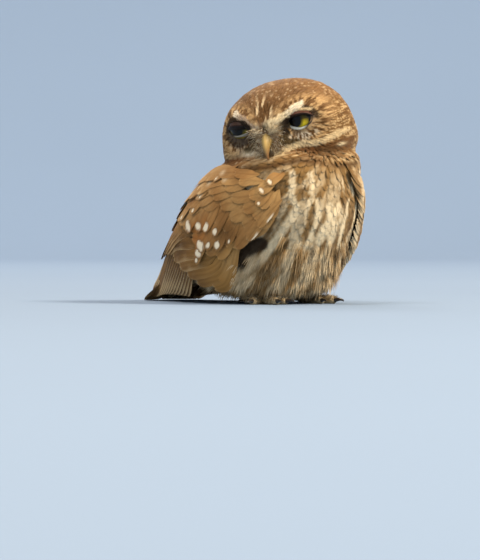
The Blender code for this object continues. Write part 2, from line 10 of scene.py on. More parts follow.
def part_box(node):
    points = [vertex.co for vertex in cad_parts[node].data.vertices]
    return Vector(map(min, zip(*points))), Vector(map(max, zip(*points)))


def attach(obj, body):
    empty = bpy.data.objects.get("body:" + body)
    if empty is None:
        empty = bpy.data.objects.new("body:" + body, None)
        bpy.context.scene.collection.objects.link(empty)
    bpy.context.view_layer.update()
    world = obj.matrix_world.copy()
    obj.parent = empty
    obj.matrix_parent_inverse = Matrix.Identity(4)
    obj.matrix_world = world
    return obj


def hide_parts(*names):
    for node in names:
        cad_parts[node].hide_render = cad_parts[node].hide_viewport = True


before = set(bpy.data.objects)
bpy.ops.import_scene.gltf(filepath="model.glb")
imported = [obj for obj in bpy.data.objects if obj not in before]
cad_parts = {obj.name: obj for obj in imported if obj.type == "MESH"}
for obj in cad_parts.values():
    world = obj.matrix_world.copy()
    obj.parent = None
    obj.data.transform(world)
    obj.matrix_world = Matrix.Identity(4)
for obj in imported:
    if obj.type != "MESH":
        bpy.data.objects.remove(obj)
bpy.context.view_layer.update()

# The skin: one closed surface over head, neck, trunk and thighs, soft, which the body feathers grow from; it
# wears the coat's markings darkened, as painted shade in the gaps between feathers. It lies inside the
# plumage by the depth of the coat, and no seam shows between its parts.
FLESH = ["head", "neck", "torso", "leg_right", "leg_left"]
RIGHT, LEFT = -1, 1
SIDES = ((RIGHT, "right"), (LEFT, "left"))
HEAD_MIDDLE = (-1, -21.3, 101.4)
HEAD_TURN, HEAD_NOD, HEAD_TILT = 60, 10, 8.4
EYE_OUT, EYE_UP, EYE_FORWARD, EYE_RADIUS, EYE_TURN_OUT = 17.2, 3, 19.8, 8.5, 9
SKIN_GRAIN = 1.15
BODY_COAT, CROWN_COAT, FACE_COAT, LEG_COAT = 2.7, 1.9, 1.0, 1.2
BODY_LIE = np.array((0, 0.77, -0.63))
BACK_LIE = np.array((0, 0.893, -0.45))


def linear(code):
    """Turns an sRGB hex colour to linear light."""
    parts = np.array([int(code[i : i + 2], 16) for i in (0, 2, 4)]) / 255
    return np.where(parts <= 0.04045, parts / 12.92, ((parts + 0.055) / 1.055) ** 2.4)


def rise(low, high, value):
    """Goes smoothly from 0 at low to 1 at high."""
    share = np.clip((value - low) / (high - low), 0, 1)
    return share * share * (3 - 2 * share)


def bell(distance, width):
    return np.exp(-0.5 * (distance / width) ** 2)


def tinted(under, over, share):
    """Lays one colour over another, by a share for each point."""
    share = np.clip(np.asarray(share, float), 0, 1)[..., None]
    return under * (1 - share) + over * share


def drift(points, seed=0):
    """Smooth noise from -1 to 1 at points whose unit is one grain."""
    cell = np.floor(points).astype(np.int64)
    inside = points - cell
    inside = inside * inside * (3 - 2 * inside)
    total = np.zeros(len(points))
    for corner in range(8):
        pick = np.array([corner & 1, corner >> 1 & 1, corner >> 2])
        at = cell + pick
        mixed = at[:, 0] * 374761393 + at[:, 1] * 668265263 + at[:, 2] * 1440662683 + seed * 974634777
        mixed = (mixed ^ (mixed >> 13)) * 1274126177
        mixed = (mixed ^ (mixed >> 16)) & 0xFFFF
        total += np.prod(np.where(pick, inside, 1 - inside), axis=1) * (mixed / 32767.5 - 1)
    return total


def unit(vectors):
    return vectors / np.maximum(np.linalg.norm(vectors, axis=-1, keepdims=True), 1e-9)


def add_node(material, kind, inputs=None, **settings):
    """Adds a node, sets it, and fills its inputs with values or links."""
    node = material.node_tree.nodes.new(kind)
    for name, value in settings.items():
        setattr(node, name, value)
    for socket, value in (inputs or {}).items():
        if isinstance(value, bpy.types.NodeSocket):
            material.node_tree.links.new(value, node.inputs[socket])
        else:
            node.inputs[socket].default_value = value
    return node


def new_material(name):
    material = bpy.data.materials.new(name)
    material.use_nodes = True
    material.node_tree.nodes.clear()
    return material


def colour_ramp(material, value, *stops):
    """A ramp from (place, hex colour) stops in rising order."""
    ramp = add_node(material, "ShaderNodeValToRGB", {"Fac": value})
    elements = ramp.color_ramp.elements
    elements[1].position, elements[1].color = stops[-1][0], (*linear(stops[-1][1]), 1)
    elements[0].position, elements[0].color = stops[0][0], (*linear(stops[0][1]), 1)
    for at, code in stops[1:-1]:
        elements.new(at).color = (*linear(code), 1)
    return ramp.outputs["Color"]


HEAD = (
    Matrix.Translation(HEAD_MIDDLE)
    @ Matrix.Rotation(math.radians(-HEAD_TURN), 4, "Z")
    @ Matrix.Rotation(math.radians(HEAD_NOD), 4, "X")
    @ Matrix.Rotation(math.radians(-HEAD_TILT), 4, "Y")
)
HEAD_AXES = np.array(HEAD.to_3x3())


def eye_frame(side):
    place = Matrix.Translation((side * EYE_OUT, -EYE_FORWARD, EYE_UP))
    return HEAD @ place @ Matrix.Rotation(math.radians(side * EYE_TURN_OUT), 4, "Z")


eye_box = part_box("eye_right")
SHIFT = np.array((eye_box[0] + eye_box[1]) / 2 * 1000) - np.array(eye_frame(RIGHT).translation)


def in_head(points):
    """Body millimetres to the head's own: across to its left, back, and up."""
    return (points - np.array(HEAD_MIDDLE)) @ HEAD_AXES


def solid_points(name):
    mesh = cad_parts[name].data
    points = np.empty(len(mesh.vertices) * 3)
    mesh.vertices.foreach_get("co", points)
    return points.reshape(-1, 3) * 1000 - SHIFT


def solid_tree(names):
    points, faces = [], []
    for name in names:
        start = len(points)
        points += [tuple(point) for point in solid_points(name)]
        faces += [[start + i for i in face.vertices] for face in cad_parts[name].data.polygons]
    return BVHTree.FromPolygons(points, faces)


def flesh_form():
    """One rounded surface round the solids of the flesh, as vertices and faces in millimetres."""
    joined = bmesh.new()
    for name in FLESH + ["eye_right", "eye_left"]:
        one = bmesh.new()
        one.from_mesh(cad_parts[name].data)
        bmesh.ops.remove_doubles(one, verts=one.verts, dist=1e-5)
        one.normal_update()
        grow = -0.0012 if name.startswith("eye") else 0.0004
        for vertex in one.verts:
            vertex.co += vertex.normal * grow
        piece = bpy.data.meshes.new("flesh part")
        one.to_mesh(piece)
        one.free()
        joined.from_mesh(piece)
        bpy.data.meshes.remove(piece)
    raw = bpy.data.meshes.new("flesh")
    joined.to_mesh(raw)
    joined.free()
    body = bpy.data.objects.new("flesh", raw)
    bpy.context.scene.collection.objects.link(body)
    remesh = body.modifiers.new("one skin", "REMESH")
    remesh.mode = "VOXEL"
    remesh.voxel_size = SKIN_GRAIN / 1000
    skin_mesh = bpy.data.meshes.new_from_object(body.evaluated_get(bpy.context.evaluated_depsgraph_get()))
    bpy.data.objects.remove(body)
    bpy.data.meshes.remove(raw)
    return skin_mesh


skin = flesh_form()
skin_points = np.empty(len(skin.vertices) * 3)
skin.vertices.foreach_get("co", skin_points)
skin_points = skin_points.reshape(-1, 3) * 1000 - SHIFT
skin_edges = np.empty(len(skin.edges) * 2, dtype=np.int64)
skin.edges.foreach_get("vertices", skin_edges)
skin_edges = skin_edges.reshape(-1, 2)
edge_ends = np.concatenate([skin_edges[:, 0], skin_edges[:, 1]])
edge_others = np.concatenate([skin_edges[:, 1], skin_edges[:, 0]])
edge_counts = np.maximum(np.bincount(edge_ends, minlength=len(skin_points)), 1)


def evened(values, rounds, keep=0.4):
    """Averages a value over the skin with its neighbours, a few times."""
    values = np.array(values, float)
    flat = values.ndim == 1
    values = values[:, None] if flat else values
    for _ in range(rounds):
        mean = np.stack(
            [np.bincount(edge_ends, values[edge_others, i], len(values)) for i in range(values.shape[1])], 1
        )
        values = values * keep + mean / edge_counts[:, None] * (1 - keep)
    return values[:, 0] if flat else values


def skin_normals():
    skin.vertices.foreach_set("co", ((skin_points + SHIFT) / 1000).ravel())
    skin.update()
    normals = np.empty(len(skin_points) * 3)
    skin.vertex_normals.foreach_get("vector", normals)
    return normals.reshape(-1, 3)


skin_points = evened(skin_points, 5)
head_solid, body_solid = solid_tree(["head"]), solid_tree(["neck", "torso", "leg_right", "leg_left"])
leg_solid = solid_tree(["leg_right", "leg_left"])
on_head = np.array(
    [head_solid.find_nearest(p)[3] < body_solid.find_nearest(p)[3] for p in skin_points.tolist()], float
)
on_head = evened(on_head, 10)
on_leg = rise(15, 9, skin_points[:, 2]) * np.array(
    [leg_solid.find_nearest(p)[3] < 1.6 for p in skin_points.tolist()], float
)
on_leg = evened(on_leg, 3)
head_places = in_head(skin_points)
face_share = rise(8, 20, -head_places[:, 1]) * rise(22, 12, head_places[:, 2]) * on_head
coat_depth = BODY_COAT * (1 - on_head) + on_head * (CROWN_COAT + (FACE_COAT - CROWN_COAT) * face_share)
coat_depth = coat_depth * (1 - on_leg) + LEG_COAT * on_leg
for side in (RIGHT, LEFT):
    near_eye = np.linalg.norm(head_places - (side * 18.5, -26, 3), axis=1)
    coat_depth = np.minimum(coat_depth, 0.5 + 0.6 * rise(9, 14, near_eye) * 2.2)
skin_points = skin_points - skin_normals() * evened(coat_depth, 4)[:, None]
skin_points = evened(skin_points, 2)
skin_out = skin_normals()

# How the coat lies: away from the bill and the eyes over the face, back over the crown, down the nape,
# and along the trunk towards the tail.
head_places = in_head(skin_points)
head_lie = unit(head_places - (0, -34, -4))
for side in (RIGHT, LEFT):
    from_eye = head_places - (side * 18.2, -27, 3)
    across = np.linalg.norm(from_eye[:, [0, 2]], axis=1)
    pull = (0.5 + 0.9 * rise(4, -2, head_places[:, 2])) * bell(across - 8, 6)
    pull = pull * rise(6, 14, -head_places[:, 1])
    head_lie = head_lie + unit(from_eye * (1, 0.3, 1)) * pull[:, None]
on_brow = bell(head_places[:, 2] - 5 - 0.35 * np.abs(head_places[:, 0]), 4) * rise(8, 14, -head_places[:, 1])
brow_way = np.stack([np.sign(head_places[:, 0]), 0.5 + 0 * on_brow, 0.35 + 0 * on_brow], 1)
head_lie = head_lie + brow_way * (1.5 * on_brow * rise(2, 6, np.abs(head_places[:, 0])))[:, None]
head_lie = head_lie + np.array((0, 0.3, -1.3)) * rise(0, 22, head_places[:, 1])[:, None]
head_lie = unit(head_lie) @ HEAD_AXES.T
on_back = rise(-10, 25, skin_points[:, 1]) * rise(40, 60, skin_points[:, 2])
body_lie = BODY_LIE * (1 - on_back[:, None]) + BACK_LIE * on_back[:, None]
body_lie = body_lie * (1 - on_leg[:, None]) + np.array((0, 0.15, -1)) * on_leg[:, None]
lie = head_lie * on_head[:, None] + body_lie * (1 - on_head[:, None])
for _ in range(3):
    lie = unit(lie - skin_out * np.sum(lie * skin_out, axis=1)[:, None])
    lie = evened(lie, 3)
lie = unit(lie - skin_out * np.sum(lie * skin_out, axis=1)[:, None])

# The coat's markings, by place: pale brows that meet over the bill, buff spots on the crown, and brown
# streaks down the cream of breast and flank; with painted shadow under the brows round the eyes, and painted
# shade along a line under the chin and in the gap by the right wing. Lines on the head are (across, up) from
# its middle; streaks are paths over the body that end with their width.
CROWN_BROWN, CROWN_DARK, CROWN_BUFF = linear("856340"), linear("604223"), linear("DFC49A")
BROW_WHITE, LORE_CREAM = linear("F0E2C6"), linear("F2E0B8")
DISC_BUFF, DISC_BROWN = linear("C09C6C"), linear("5F3F20")
BROW_CREAM, BROW_ROSE = linear("E6CFA4"), linear("BCA083")
LORE_BROWN, CRESCENT_OLIVE, SOCKET_RED = linear("9A7D5E"), linear("44351B"), linear("5C301A")
EYE_SHADE, CHIN_SHADE = linear("2A1D12"), linear("4A3117")
WHISKER_CREAM, MALAR_DARK = linear("E0C698"), linear("5A3718")
CHEEK_WHITE, SIDE_BROWN, SIDE_BUFF = linear("E8DCC4"), linear("765630"), linear("BA9C70")
BREAST_CREAM, BREAST_BROWN, BREAST_DARK = linear("E9D2AA"), linear("8A683A"), linear("54391B")
MANTLE_BROWN, MANTLE_LIGHT, MANTLE_BUFF = linear("8A633C"), linear("A98459"), linear("DCC29A")
BROW_LINES = {
    1: [(1.5, 3.4), (5.3, 4.6), (6.9, 5.2), (9.5, 6.5), (12.3, 7.6), (14.7, 8.6), (17.2, 10.4), (19.9, 11.5)],
    -1: [(2.6, 0.5), (5.1, 2.9), (8.2, 6.0), (11.9, 8.9), (15.6, 10.3), (18.9, 12.2), (19.4, 12.4)],
}
BROW_TAIL = [(19, 9.0), (22, 8.6), (25, 7.8)]
WHISKER_LINE = [
    (3, -15.5), (6.5, -12.8), (11.3, -10.6), (17.8, -10.2),
    (24, -11), (28.3, -10.8), (33.2, -9.5), (36, -8.6),
]
EYE_CRESCENT = [(11.5, 5), (10.4, 1), (10.2, -3.5), (8.2, -6.3), (10.5, -8.2), (15.2, -8.4)]
CHIN_SHADE_LINE = [
    (-36, 75.5), (-31, 76.2), (-27, 78.2), (-19, 79.6), (-10, 78.8), (-2, 77), (8, 77.5), (20, 79),
]
PALE_STREAKS = [
    ((-22, -53, 51), (-25, -47, 41), (-27.5, -41, 33), (-29.6, -35, 26), (-32, -27, 20), (-33, -17, 14), 2.6),
    ((-15, -50, 34), (-17, -46, 28), (-19, -42, 24), (-22, -36, 18), (-24, -29, 13), (-25, -22, 10), 2.1),
    ((-24, -54, 73), (-23.5, -54, 68), (-24, -53.5, 61), (-21.5, -54.6, 55), (-21, -54, 52), (-22, -53, 50),
     1.9),
    ((-11, -60, 58), (-10.5, -60, 54), (-10, -59, 48), (-10.5, -57, 42), (-11, -54, 37), (-12, -51, 32), 1.9),
    ((3, -61, 54), (1.7, -60, 51), (0, -60, 48), (-2, -58.5, 45), (-3, -57, 41), (-4, -54, 36), 3.0),
    ((-15, -59, 72), (-14, -60, 66), (-15, -59, 62), (-14, -58, 60), 1.6),
    ((-28.3, -41.9, 80.7), (-23.5, -43, 84.7), (-19, -47, 87), 1.5),
]
# Dark streaks of the breast and flank, mirrored to both sides; the first, by the wing's front edge, is
# painted shade.
DARK_STREAKS = [
    ((-30, -45, 52), (-30, -41, 42), (-31, -36, 34), (-33, -30, 28), (-34.5, -24, 22), 3.4),
    ((-18.5, -53, 42), (-22.5, -45, 31.5), (-26, -38, 24), (-28.5, -29, 16), 1.7),
    ((-18.7, -57, 64), (-17.7, -56, 52), (-17.5, -53, 41), 1.6),
    ((-8, -58, 46), (-6.5, -53, 33), (-6.5, -47, 24), 1.7),
    ((0.5, -56, 39), (-0.3, -50, 28), (3, -43, 19), 1.6),
    ((3, -62, 62), (4, -62, 59), (8, -61, 55), 3.2),
    ((-28, -50, 72), (-29, -49, 62), (-27.5, -48, 54), 2.6),
]
# The dark gap between the right wing and the flank, painted because soft light would fill it.
SHADE_GAP = [((-41, -27, 31), (-36, -28, 30), (-31, -36, 34), 5.0), ((-39, -24, 26), (-36, -24, 24), 5.5)]


def to_line(across, up, line):
    """Distance from points to a bent line in a plane, and how far along it the nearest place is."""
    best = np.full(len(across), 1e9)
    share = np.zeros(len(across))
    for i in range(len(line) - 1):
        ax, az = line[i]
        bx, bz = line[i + 1][0] - ax, line[i + 1][1] - az
        t = np.clip(((across - ax) * bx + (up - az) * bz) / (bx * bx + bz * bz), 0, 1)
        gap = np.hypot(across - ax - t * bx, up - az - t * bz)
        share = np.where(gap < best, (i + t) / (len(line) - 1), share)
        best = np.minimum(best, gap)
    return best, share


def to_path(points, path):
    best = np.full(len(points), 1e9)
    for i in range(len(path) - 1):
        start, run = np.array(path[i]), np.array(path[i + 1]) - np.array(path[i])
        t = np.clip(((points - start) @ run) / (run @ run), 0, 1)
        best = np.minimum(best, np.linalg.norm(points - start - t[:, None] * run, axis=1))
    return best


def head_tone(points, luck, u, v):
    """Colour of the head's feathers at points in millimetres, with painted shade round the eyes and on the
    face's right; luck is one draw per feather.
    """
    q = in_head(points)
    out, back, up = np.abs(q[:, 0]), q[:, 1], q[:, 2]
    middle = bell(u, 0.36)
    grain, coarse = drift(q / 1.1, 3), drift(q / 5, 4)
    thread = drift(np.stack([np.arctan2(up + 4, q[:, 0]) * 70, back / 2.5, up * 0], 1), 12)
    shade = 0.34 + 0.25 * grain + 0.12 * coarse + 0.5 * thread
    tone = tinted(np.broadcast_to(CROWN_BROWN, points.shape), CROWN_DARK, shade)
    spot = (luck > 0.8) * bell(v - 0.82, 0.07) * bell(u, 0.26)
    tone = tinted(tone, CROWN_BUFF, 0.85 * spot * rise(14, 8, back))
    tone = tinted(tone, CROWN_DARK, bell(u, 0.1) * 0.5)
    forehead = rise(8, 4, out) * rise(2, 8, up) * rise(21, 15, up) * rise(10, 16, -back)
    dashes = drift(np.stack([q[:, 0] / 1.5, up / 4, up * 0], 1), 6)
    tone = tinted(tone, CROWN_DARK, forehead * rise(0.1, -0.3, dashes) * 0.7)
    tone = tinted(tone, CROWN_BUFF, forehead * rise(-0.05, 0.3, dashes) * 0.9)
    angle = np.arctan2(up + 4, q[:, 0])
    ray = 0.75 * drift(np.stack([angle * 75, np.hypot(out, up + 4) / 2.6, back / 4], 1), 5)
    ray = ray + 0.4 * drift(q / 0.9, 8)
    side = rise(21, 28, out) * rise(15, 6, up)
    nape = rise(4, 16, back)
    around = np.maximum(side, nape)
    tone = tinted(tone, SIDE_BROWN, 0.85 * around)
    tone = tinted(tone, SIDE_BUFF, rise(0.0, 0.4, ray) * np.maximum(side, nape * 0.55) * 0.85)
    tone = tinted(tone, CROWN_DARK, rise(-0.05, -0.4, ray) * around * 0.85)
    tone = tinted(tone, CROWN_BUFF, nape * (luck > 0.55) * bell(v - 0.8, 0.1) * middle * 0.8)
    collar = bell(back * 0.35 + up + 9 + 3 * np.cos(q[:, 0] / 9), 2.2) * rise(8, 16, back)
    tone = tinted(tone, CHEEK_WHITE, collar * (0.25 + 0.5 * (luck > 0.5)))
    front = rise(4, 12, -back)
    # The pale marks below the eyes, on the lores and in the whisker band are weighed by own_left, fainter on
    # the owl's right, and the right brow is rosier: painted shade on the side away from the light.
    own_left = rise(-1, 1, q[:, 0])
    for_eye = np.hypot(out - 18.5, (up - 2.5) * 1.1)
    disc = rise(17, 13, for_eye) * front
    rays = drift(np.stack([np.arctan2(up - 2.5, out - 18.5) * 14, for_eye / 2.4, out * 0], 1), 7)
    fleck = drift(q / 1.1, 9)
    tone = tinted(tone, DISC_BUFF, disc * 0.8)
    tone = tinted(tone, DISC_BROWN, disc * rise(-0.15, 0.35, rays + 0.35 * fleck) * 0.9)
    below = rise(-3, -5, up) * rise(14, 10, for_eye) * rise(8, 11, out) * front
    tone = tinted(tone, CHEEK_WHITE, below * rise(0.3, -0.3, rays + 0.4 * fleck) * (0.3 + 0.3 * own_left))
    lore = rise(9.5, 5.5, out) * rise(-16, -10, up) * rise(7, 3, up) * front
    tone = tinted(tone, LORE_BROWN, lore * (0.8 + 0.4 * fleck))
    streak = lore * rise(-2.5, 0.5, up) * rise(1.6, 3.4, out) * (0.75 + 0.4 * rays)
    tone = tinted(tone, LORE_CREAM, streak * (0.6 + 0.4 * own_left))
    cheek = bell(np.hypot((out - 13) / 4.5, (up + 10.3) / 1.9), 0.8) * (1 - own_left) * front
    tone = tinted(tone, CHEEK_WHITE, cheek * 0.9)
    gap = to_line(out, up, EYE_CRESCENT)[0]
    tone = tinted(tone, CRESCENT_OLIVE, rise(3.0, 1.2, gap + 0.7 * fleck) * front * 0.9)
    tone = tinted(tone, EYE_SHADE, rise(2.2, 0.8, gap) * rise(-5, -2, up) * front * 0.9)
    # Painted shadow of the brow over the upper half of each eye's rim.
    brow_shadow = rise(10.4, 9.2, for_eye) * front * rise(1, 3.5, up)
    tone = tinted(tone, EYE_SHADE, brow_shadow * 0.92)
    # Painted shade over the disc round the right eye, on the side of the face away from the light.
    right_shade = rise(1.05, 0.85, np.hypot((out - 18) / 12, (up - 1) / 8.5) + 0.1 * fleck) * (1 - own_left) * front
    tone = tinted(tone, EYE_SHADE, right_shade * 0.8)
    tone = tinted(tone, SOCKET_RED, bell(np.hypot((out - 23.5) / 5, (up + 13.4) / 1.7), 0.8) * front * 0.75)
    malar = rise(-11.5, -13, up) * rise(-24, -18, up) * rise(6, 12, out) * rise(-6, 4, -back)
    tone = tinted(tone, MALAR_DARK, malar * (0.7 + 0.5 * ray))
    gap, share = to_line(out, up, WHISKER_LINE)
    whisker = rise(2.4, 0.9, gap + 0.8 * fleck) * rise(-4, 4, -back) * (0.95 - 0.4 * share)
    tone = tinted(tone, WHISKER_CREAM, whisker * (0.3 + 0.7 * own_left))
    tone = tinted(tone, BROW_CREAM, bell(np.hypot(q[:, 0] - 35.1, up + 15.1), 0.7) * 0.8)
    gap = to_line(out, up, BROW_TAIL)[0]
    tone = tinted(tone, WHISKER_CREAM, rise(1.1, 0.4, gap) * own_left * front * 0.7)
    for hand, keep in ((1, own_left), (-1, 1 - own_left)):
        gap, share = to_line(out, up, BROW_LINES[hand])
        width = 1.2 + 0.6 * bell(share - 0.84, 0.18) + 0.9 * bell(share - 0.2, 0.28) * (hand > 0)
        width = width - 0.3 * (hand < 0)
        brow = rise(width + 0.7, width - 0.5, gap + 0.9 * fleck) * rise(11, 15, -back) * (0.8 + 0.4 * middle)
        low_tone = BROW_CREAM if hand > 0 else BROW_ROSE
        tone = tinted(tone, low_tone, brow * keep * 0.85)
        tone = tinted(tone, BROW_WHITE, brow * keep * rise(0.55, 0.85, share + 0.25 * fleck) * 0.9)
    cream = bell(np.hypot((q[:, 0] - 5.6) / 1.0, (up - 3.0) / 1.4), 1.9) * front
    tone = tinted(tone, BROW_CREAM, cream * (0.85 + 0.3 * fleck))
    notch = bell(np.hypot(q[:, 0] - 0.6, (up - 2.6) / 1.2), 1.3) * front
    return tinted(tone, EYE_SHADE, notch * 0.85)


def body_tone(points, luck, u, v):
    """Colour of the feathers of neck, breast, back and thighs, with painted shade under the chin and by the
    right wing.
    """
    x, y, z = points.T
    turn = np.arctan2(x, -(y * 0.63 + z * 0.77) + 30)
    along = points @ BODY_LIE
    streak = drift(np.stack([turn * 7.0, along / 15, x * 0], 1), 11)
    fine = drift(np.stack([turn * 17, along / 7, x * 0], 1), 13)
    mottle = drift(points / 5, 17)
    brown = np.clip(0.52 + 1.25 * streak + 0.75 * fine, 0, 1)
    centre = bell(u, 0.42)
    ground = np.broadcast_to(BREAST_CREAM, points.shape)
    ground = tinted(ground, BREAST_BROWN, 0.3 + 0.3 * mottle + 0.25 * drift(points / 1.3, 20))
    ground = tinted(ground, BREAST_BROWN, rise(0.15, 0.65, brown) * (0.6 + 0.35 * centre))
    ground = tinted(ground, BREAST_DARK, rise(0.65, 1.0, brown) * (0.2 + 0.4 * centre) * 0.7)
    mirrored = points * (-1, 1, 1)
    for *path, width in DARK_STREAKS:
        gap = np.minimum(to_path(points, path), to_path(mirrored, path))
        ground = tinted(ground, BREAST_DARK, bell(gap, width * 0.7) * (0.45 + 0.35 * fine))
    throat = rise(66, 74, z) * rise(10, -6, y)
    ground = tinted(ground, BREAST_BROWN, throat * (0.7 + 0.4 * mottle))
    ground = tinted(ground, BREAST_BROWN, rise(50, 64, z) * (0.25 + 0.3 * drift(points / 1.6, 18)))
    for *path, width in PALE_STREAKS:
        gap = np.minimum(to_path(points, path), to_path(mirrored, path))
        ground = tinted(ground, BREAST_CREAM, rise(width * 1.3, width * 0.5, gap + 0.6 * fine) * 0.95)
    for *path, width in SHADE_GAP:
        gap = to_path(points, path)
        ground = tinted(ground, EYE_SHADE, rise(width, width * 0.6, gap) * 0.95)
    jowl = rise(78, 81, z)
    ray = drift(np.stack([turn * 16, z / 4, x * 0], 1), 19)
    ground = tinted(ground, SIDE_BROWN, jowl * (0.75 + 0.4 * ray))
    ground = tinted(ground, WHISKER_CREAM, jowl * rise(0.1, 0.5, ray) * 0.8)
    # Painted shade along the line under the chin, where the head meets the throat.
    gap = to_line(x, z, CHIN_SHADE_LINE)[0]
    ground = tinted(ground, CHIN_SHADE, bell(gap, 1.2) * rise(12, 2, y) * 0.9)
    back = rise(-25, -8, y + (z - 60) * 0.4) * rise(30, 44, z + y * 0.35)
    mantle = tinted(np.broadcast_to(MANTLE_BROWN, points.shape), MANTLE_LIGHT, 0.35 + 0.6 * mottle)
    mantle = tinted(mantle, BREAST_DARK, bell(u, 0.12) * 0.4)
    mantle = tinted(mantle, MANTLE_BUFF, (luck > 0.68) * bell(u, 0.4) * bell(v - 0.8, 0.1) * 0.9)
    return tinted(ground, mantle, back)


def coat_tone(points, head_share, luck, u, v):
    return tinted(body_tone(points, luck, u, v), head_tone(points, luck, u, v), head_share)


def new_mesh(name, points, triangles, tone=None, maps=None):
    """A mesh of triangles in scene metres from points in body millimetres, with its colours and maps."""
    mesh = bpy.data.meshes.new(name)
    triangles = np.asarray(triangles, dtype=np.int64)
    mesh.vertices.add(len(points))
    mesh.vertices.foreach_set("co", ((np.asarray(points) + SHIFT) / 1000).ravel())
    mesh.loops.add(triangles.size)
    mesh.loops.foreach_set("vertex_index", triangles.ravel())
    mesh.polygons.add(len(triangles))
    mesh.polygons.foreach_set("loop_start", np.arange(0, triangles.size, 3))
    mesh.polygons.foreach_set("use_smooth", np.ones(len(triangles), dtype=bool))
    if tone is not None:
        # The attribute holds each point's colour, with any painted shade in it.
        layer = mesh.attributes.new("MarkingsAndShade", "FLOAT_COLOR", "POINT")
        layer.data.foreach_set("color", np.column_stack([tone, np.ones(len(tone))]).ravel())
    for map_name, places in (maps or {}).items():
        layer = mesh.uv_layers.new(name=map_name)
        layer.data.foreach_set("uv", places[triangles.ravel()].ravel())
    mesh.update(calc_edges=True)
    mesh.validate()
    return mesh


def new_piece(name, mesh, material):
    piece = bpy.data.objects.new(name, mesh)
    bpy.context.scene.collection.objects.link(piece)
    if material:
        mesh.materials.clear()
        mesh.materials.append(material)
    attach(piece, "root")
    return piece


skin.name = "skin"
layer = skin.attributes.new("MarkingsAndShade", "FLOAT_COLOR", "POINT")
even = np.full(len(skin_points), 0.5)
# The skin takes the coat's markings at 0.85, darkened as painted shade for the gaps between feathers.
skin_tone = coat_tone(skin_points, on_head, even, even * 0, even) * 0.85
layer.data.foreach_set("color", np.column_stack([skin_tone, even * 2]).ravel())
skin.polygons.foreach_set("use_smooth", np.ones(len(skin.polygons), dtype=bool))

# Bird skin under feathers: thin, matt and soft, so no gloss; only its colour varies.
skin_material = new_material("feathered skin")
marks_and_shade = add_node(skin_material, "ShaderNodeAttribute", attribute_name="MarkingsAndShade")
place = add_node(skin_material, "ShaderNodeTexCoord")
grain = add_node(
    skin_material, "ShaderNodeTexNoise", {"Vector": place.outputs["Object"], "Scale": 900.0, "Detail": 3.0}
)
relief = add_node(
    skin_material, "ShaderNodeBump", {"Height": grain.outputs["Fac"], "Distance": 0.0004, "Strength": 0.6}
)
surface = add_node(
    skin_material,
    "ShaderNodeBsdfPrincipled",
    {"Base Color": marks_and_shade.outputs["Color"], "Roughness": 0.85, "Normal": relief.outputs["Normal"]},
)
add_node(skin_material, "ShaderNodeOutputMaterial", {"Surface": surface.outputs["BSDF"]})

skin_piece = new_piece("skin", skin, skin_material)
bpy.context.view_layer.objects.active = skin_piece
skin_piece.select_set(True)
bpy.ops.object.mode_set(mode="EDIT")
bpy.ops.mesh.select_all(action="SELECT")
bpy.ops.uv.smart_project(angle_limit=math.radians(60), island_margin=0.004)
bpy.ops.object.mode_set(mode="OBJECT")
skin_piece.select_set(False)
skin.uv_layers[0].name = "OFBake"
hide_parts(*FLESH)
skin.calc_loop_triangles()
tri_corners = np.empty(len(skin.loop_triangles) * 3, dtype=np.int64)
skin.loop_triangles.foreach_get("vertices", tri_corners)
tri_corners = tri_corners.reshape(-1, 3)
tri_loops = np.empty(len(skin.loop_triangles) * 3, dtype=np.int64)
skin.loop_triangles.foreach_get("loops", tri_loops)
tri_loops = tri_loops.reshape(-1, 3)
skin_uv = np.empty(len(skin.loops) * 2)
skin.uv_layers["OFBake"].data.foreach_get("uv", skin_uv)
skin_uv = skin_uv.reshape(-1, 2)
skin_tree = BVHTree.FromPolygons(skin_points.tolist(), tri_corners.tolist())

# Body feathers: small soft vanes of keratin, each a shaft with barbs that part at their tips, rooted in
# the skin and lying over the next ones like tiles. Shorter and closer together on the face.
STATIONS = 5
BODY_GAP, CROWN_GAP, FACE_GAP, LEG_GAP = 1.95, 1.4, 0.9, 1.7
BODY_FEATHER, CROWN_FEATHER, FACE_FEATHER, LEG_FEATHER = 12.5, 7.6, 4.6, 5.5
VANE_SHARE, FACE_VANE_SHARE = 0.27, 0.2
ROOT_TRIES, QUICK_ROOT_TRIES, PIECE_LIMIT = 150000, 90000, 190000
BARB_SLANT = 0.8
draw = np.random.default_rng(5)


def feather_pattern(barbs, open_from=0.74, jitter=0.07, round_tip=3.0, seed=1, cuts=2):
    """Points and triangles of one feather, its barbs parted at their ends.

    Points run across in half widths and along in lengths.
    """
    pick = np.random.default_rng(seed)
    points, triangles = [], []
    shares = np.linspace(0, open_from, cuts + 1)
    for side in (-1, 1):
        start, rims = len(points), []
        for root in np.linspace(0, 0.97, barbs + 1):
            tip = min(root + (1 - root) * 0.34 + 0.05, 1.0)
            reach = tip**0.45 * max(1 - min(tip, 0.999) ** round_tip, 0.02) ** 0.5 * 1.12
            rims.append((reach, tip))
            points += [(side * reach * share, root + (tip - root) * share**1.35) for share in shares]
        for i in range(barbs):
            for k in range(cuts):
                a = start + i * (cuts + 1) + k
                b = a + cuts + 1
                quad = [(a, a + 1, b + 1), (a, b + 1, b)]
                triangles += quad if side == 1 else [face[::-1] for face in quad]
            reach = (rims[i][0] + rims[i + 1][0]) / 2 * (1 + pick.uniform(-1, 1) * jitter)
            tip = min((rims[i][1] + rims[i + 1][1]) / 2 + pick.uniform(0, 1) * jitter * 0.4, 1.0)
            end = start + i * (cuts + 1) + cuts
            face = (end, len(points), end + cuts + 1)
            triangles.append(face if side == 1 else face[::-1])
            points.append((side * reach, tip))
    return np.array(points), np.array(triangles)


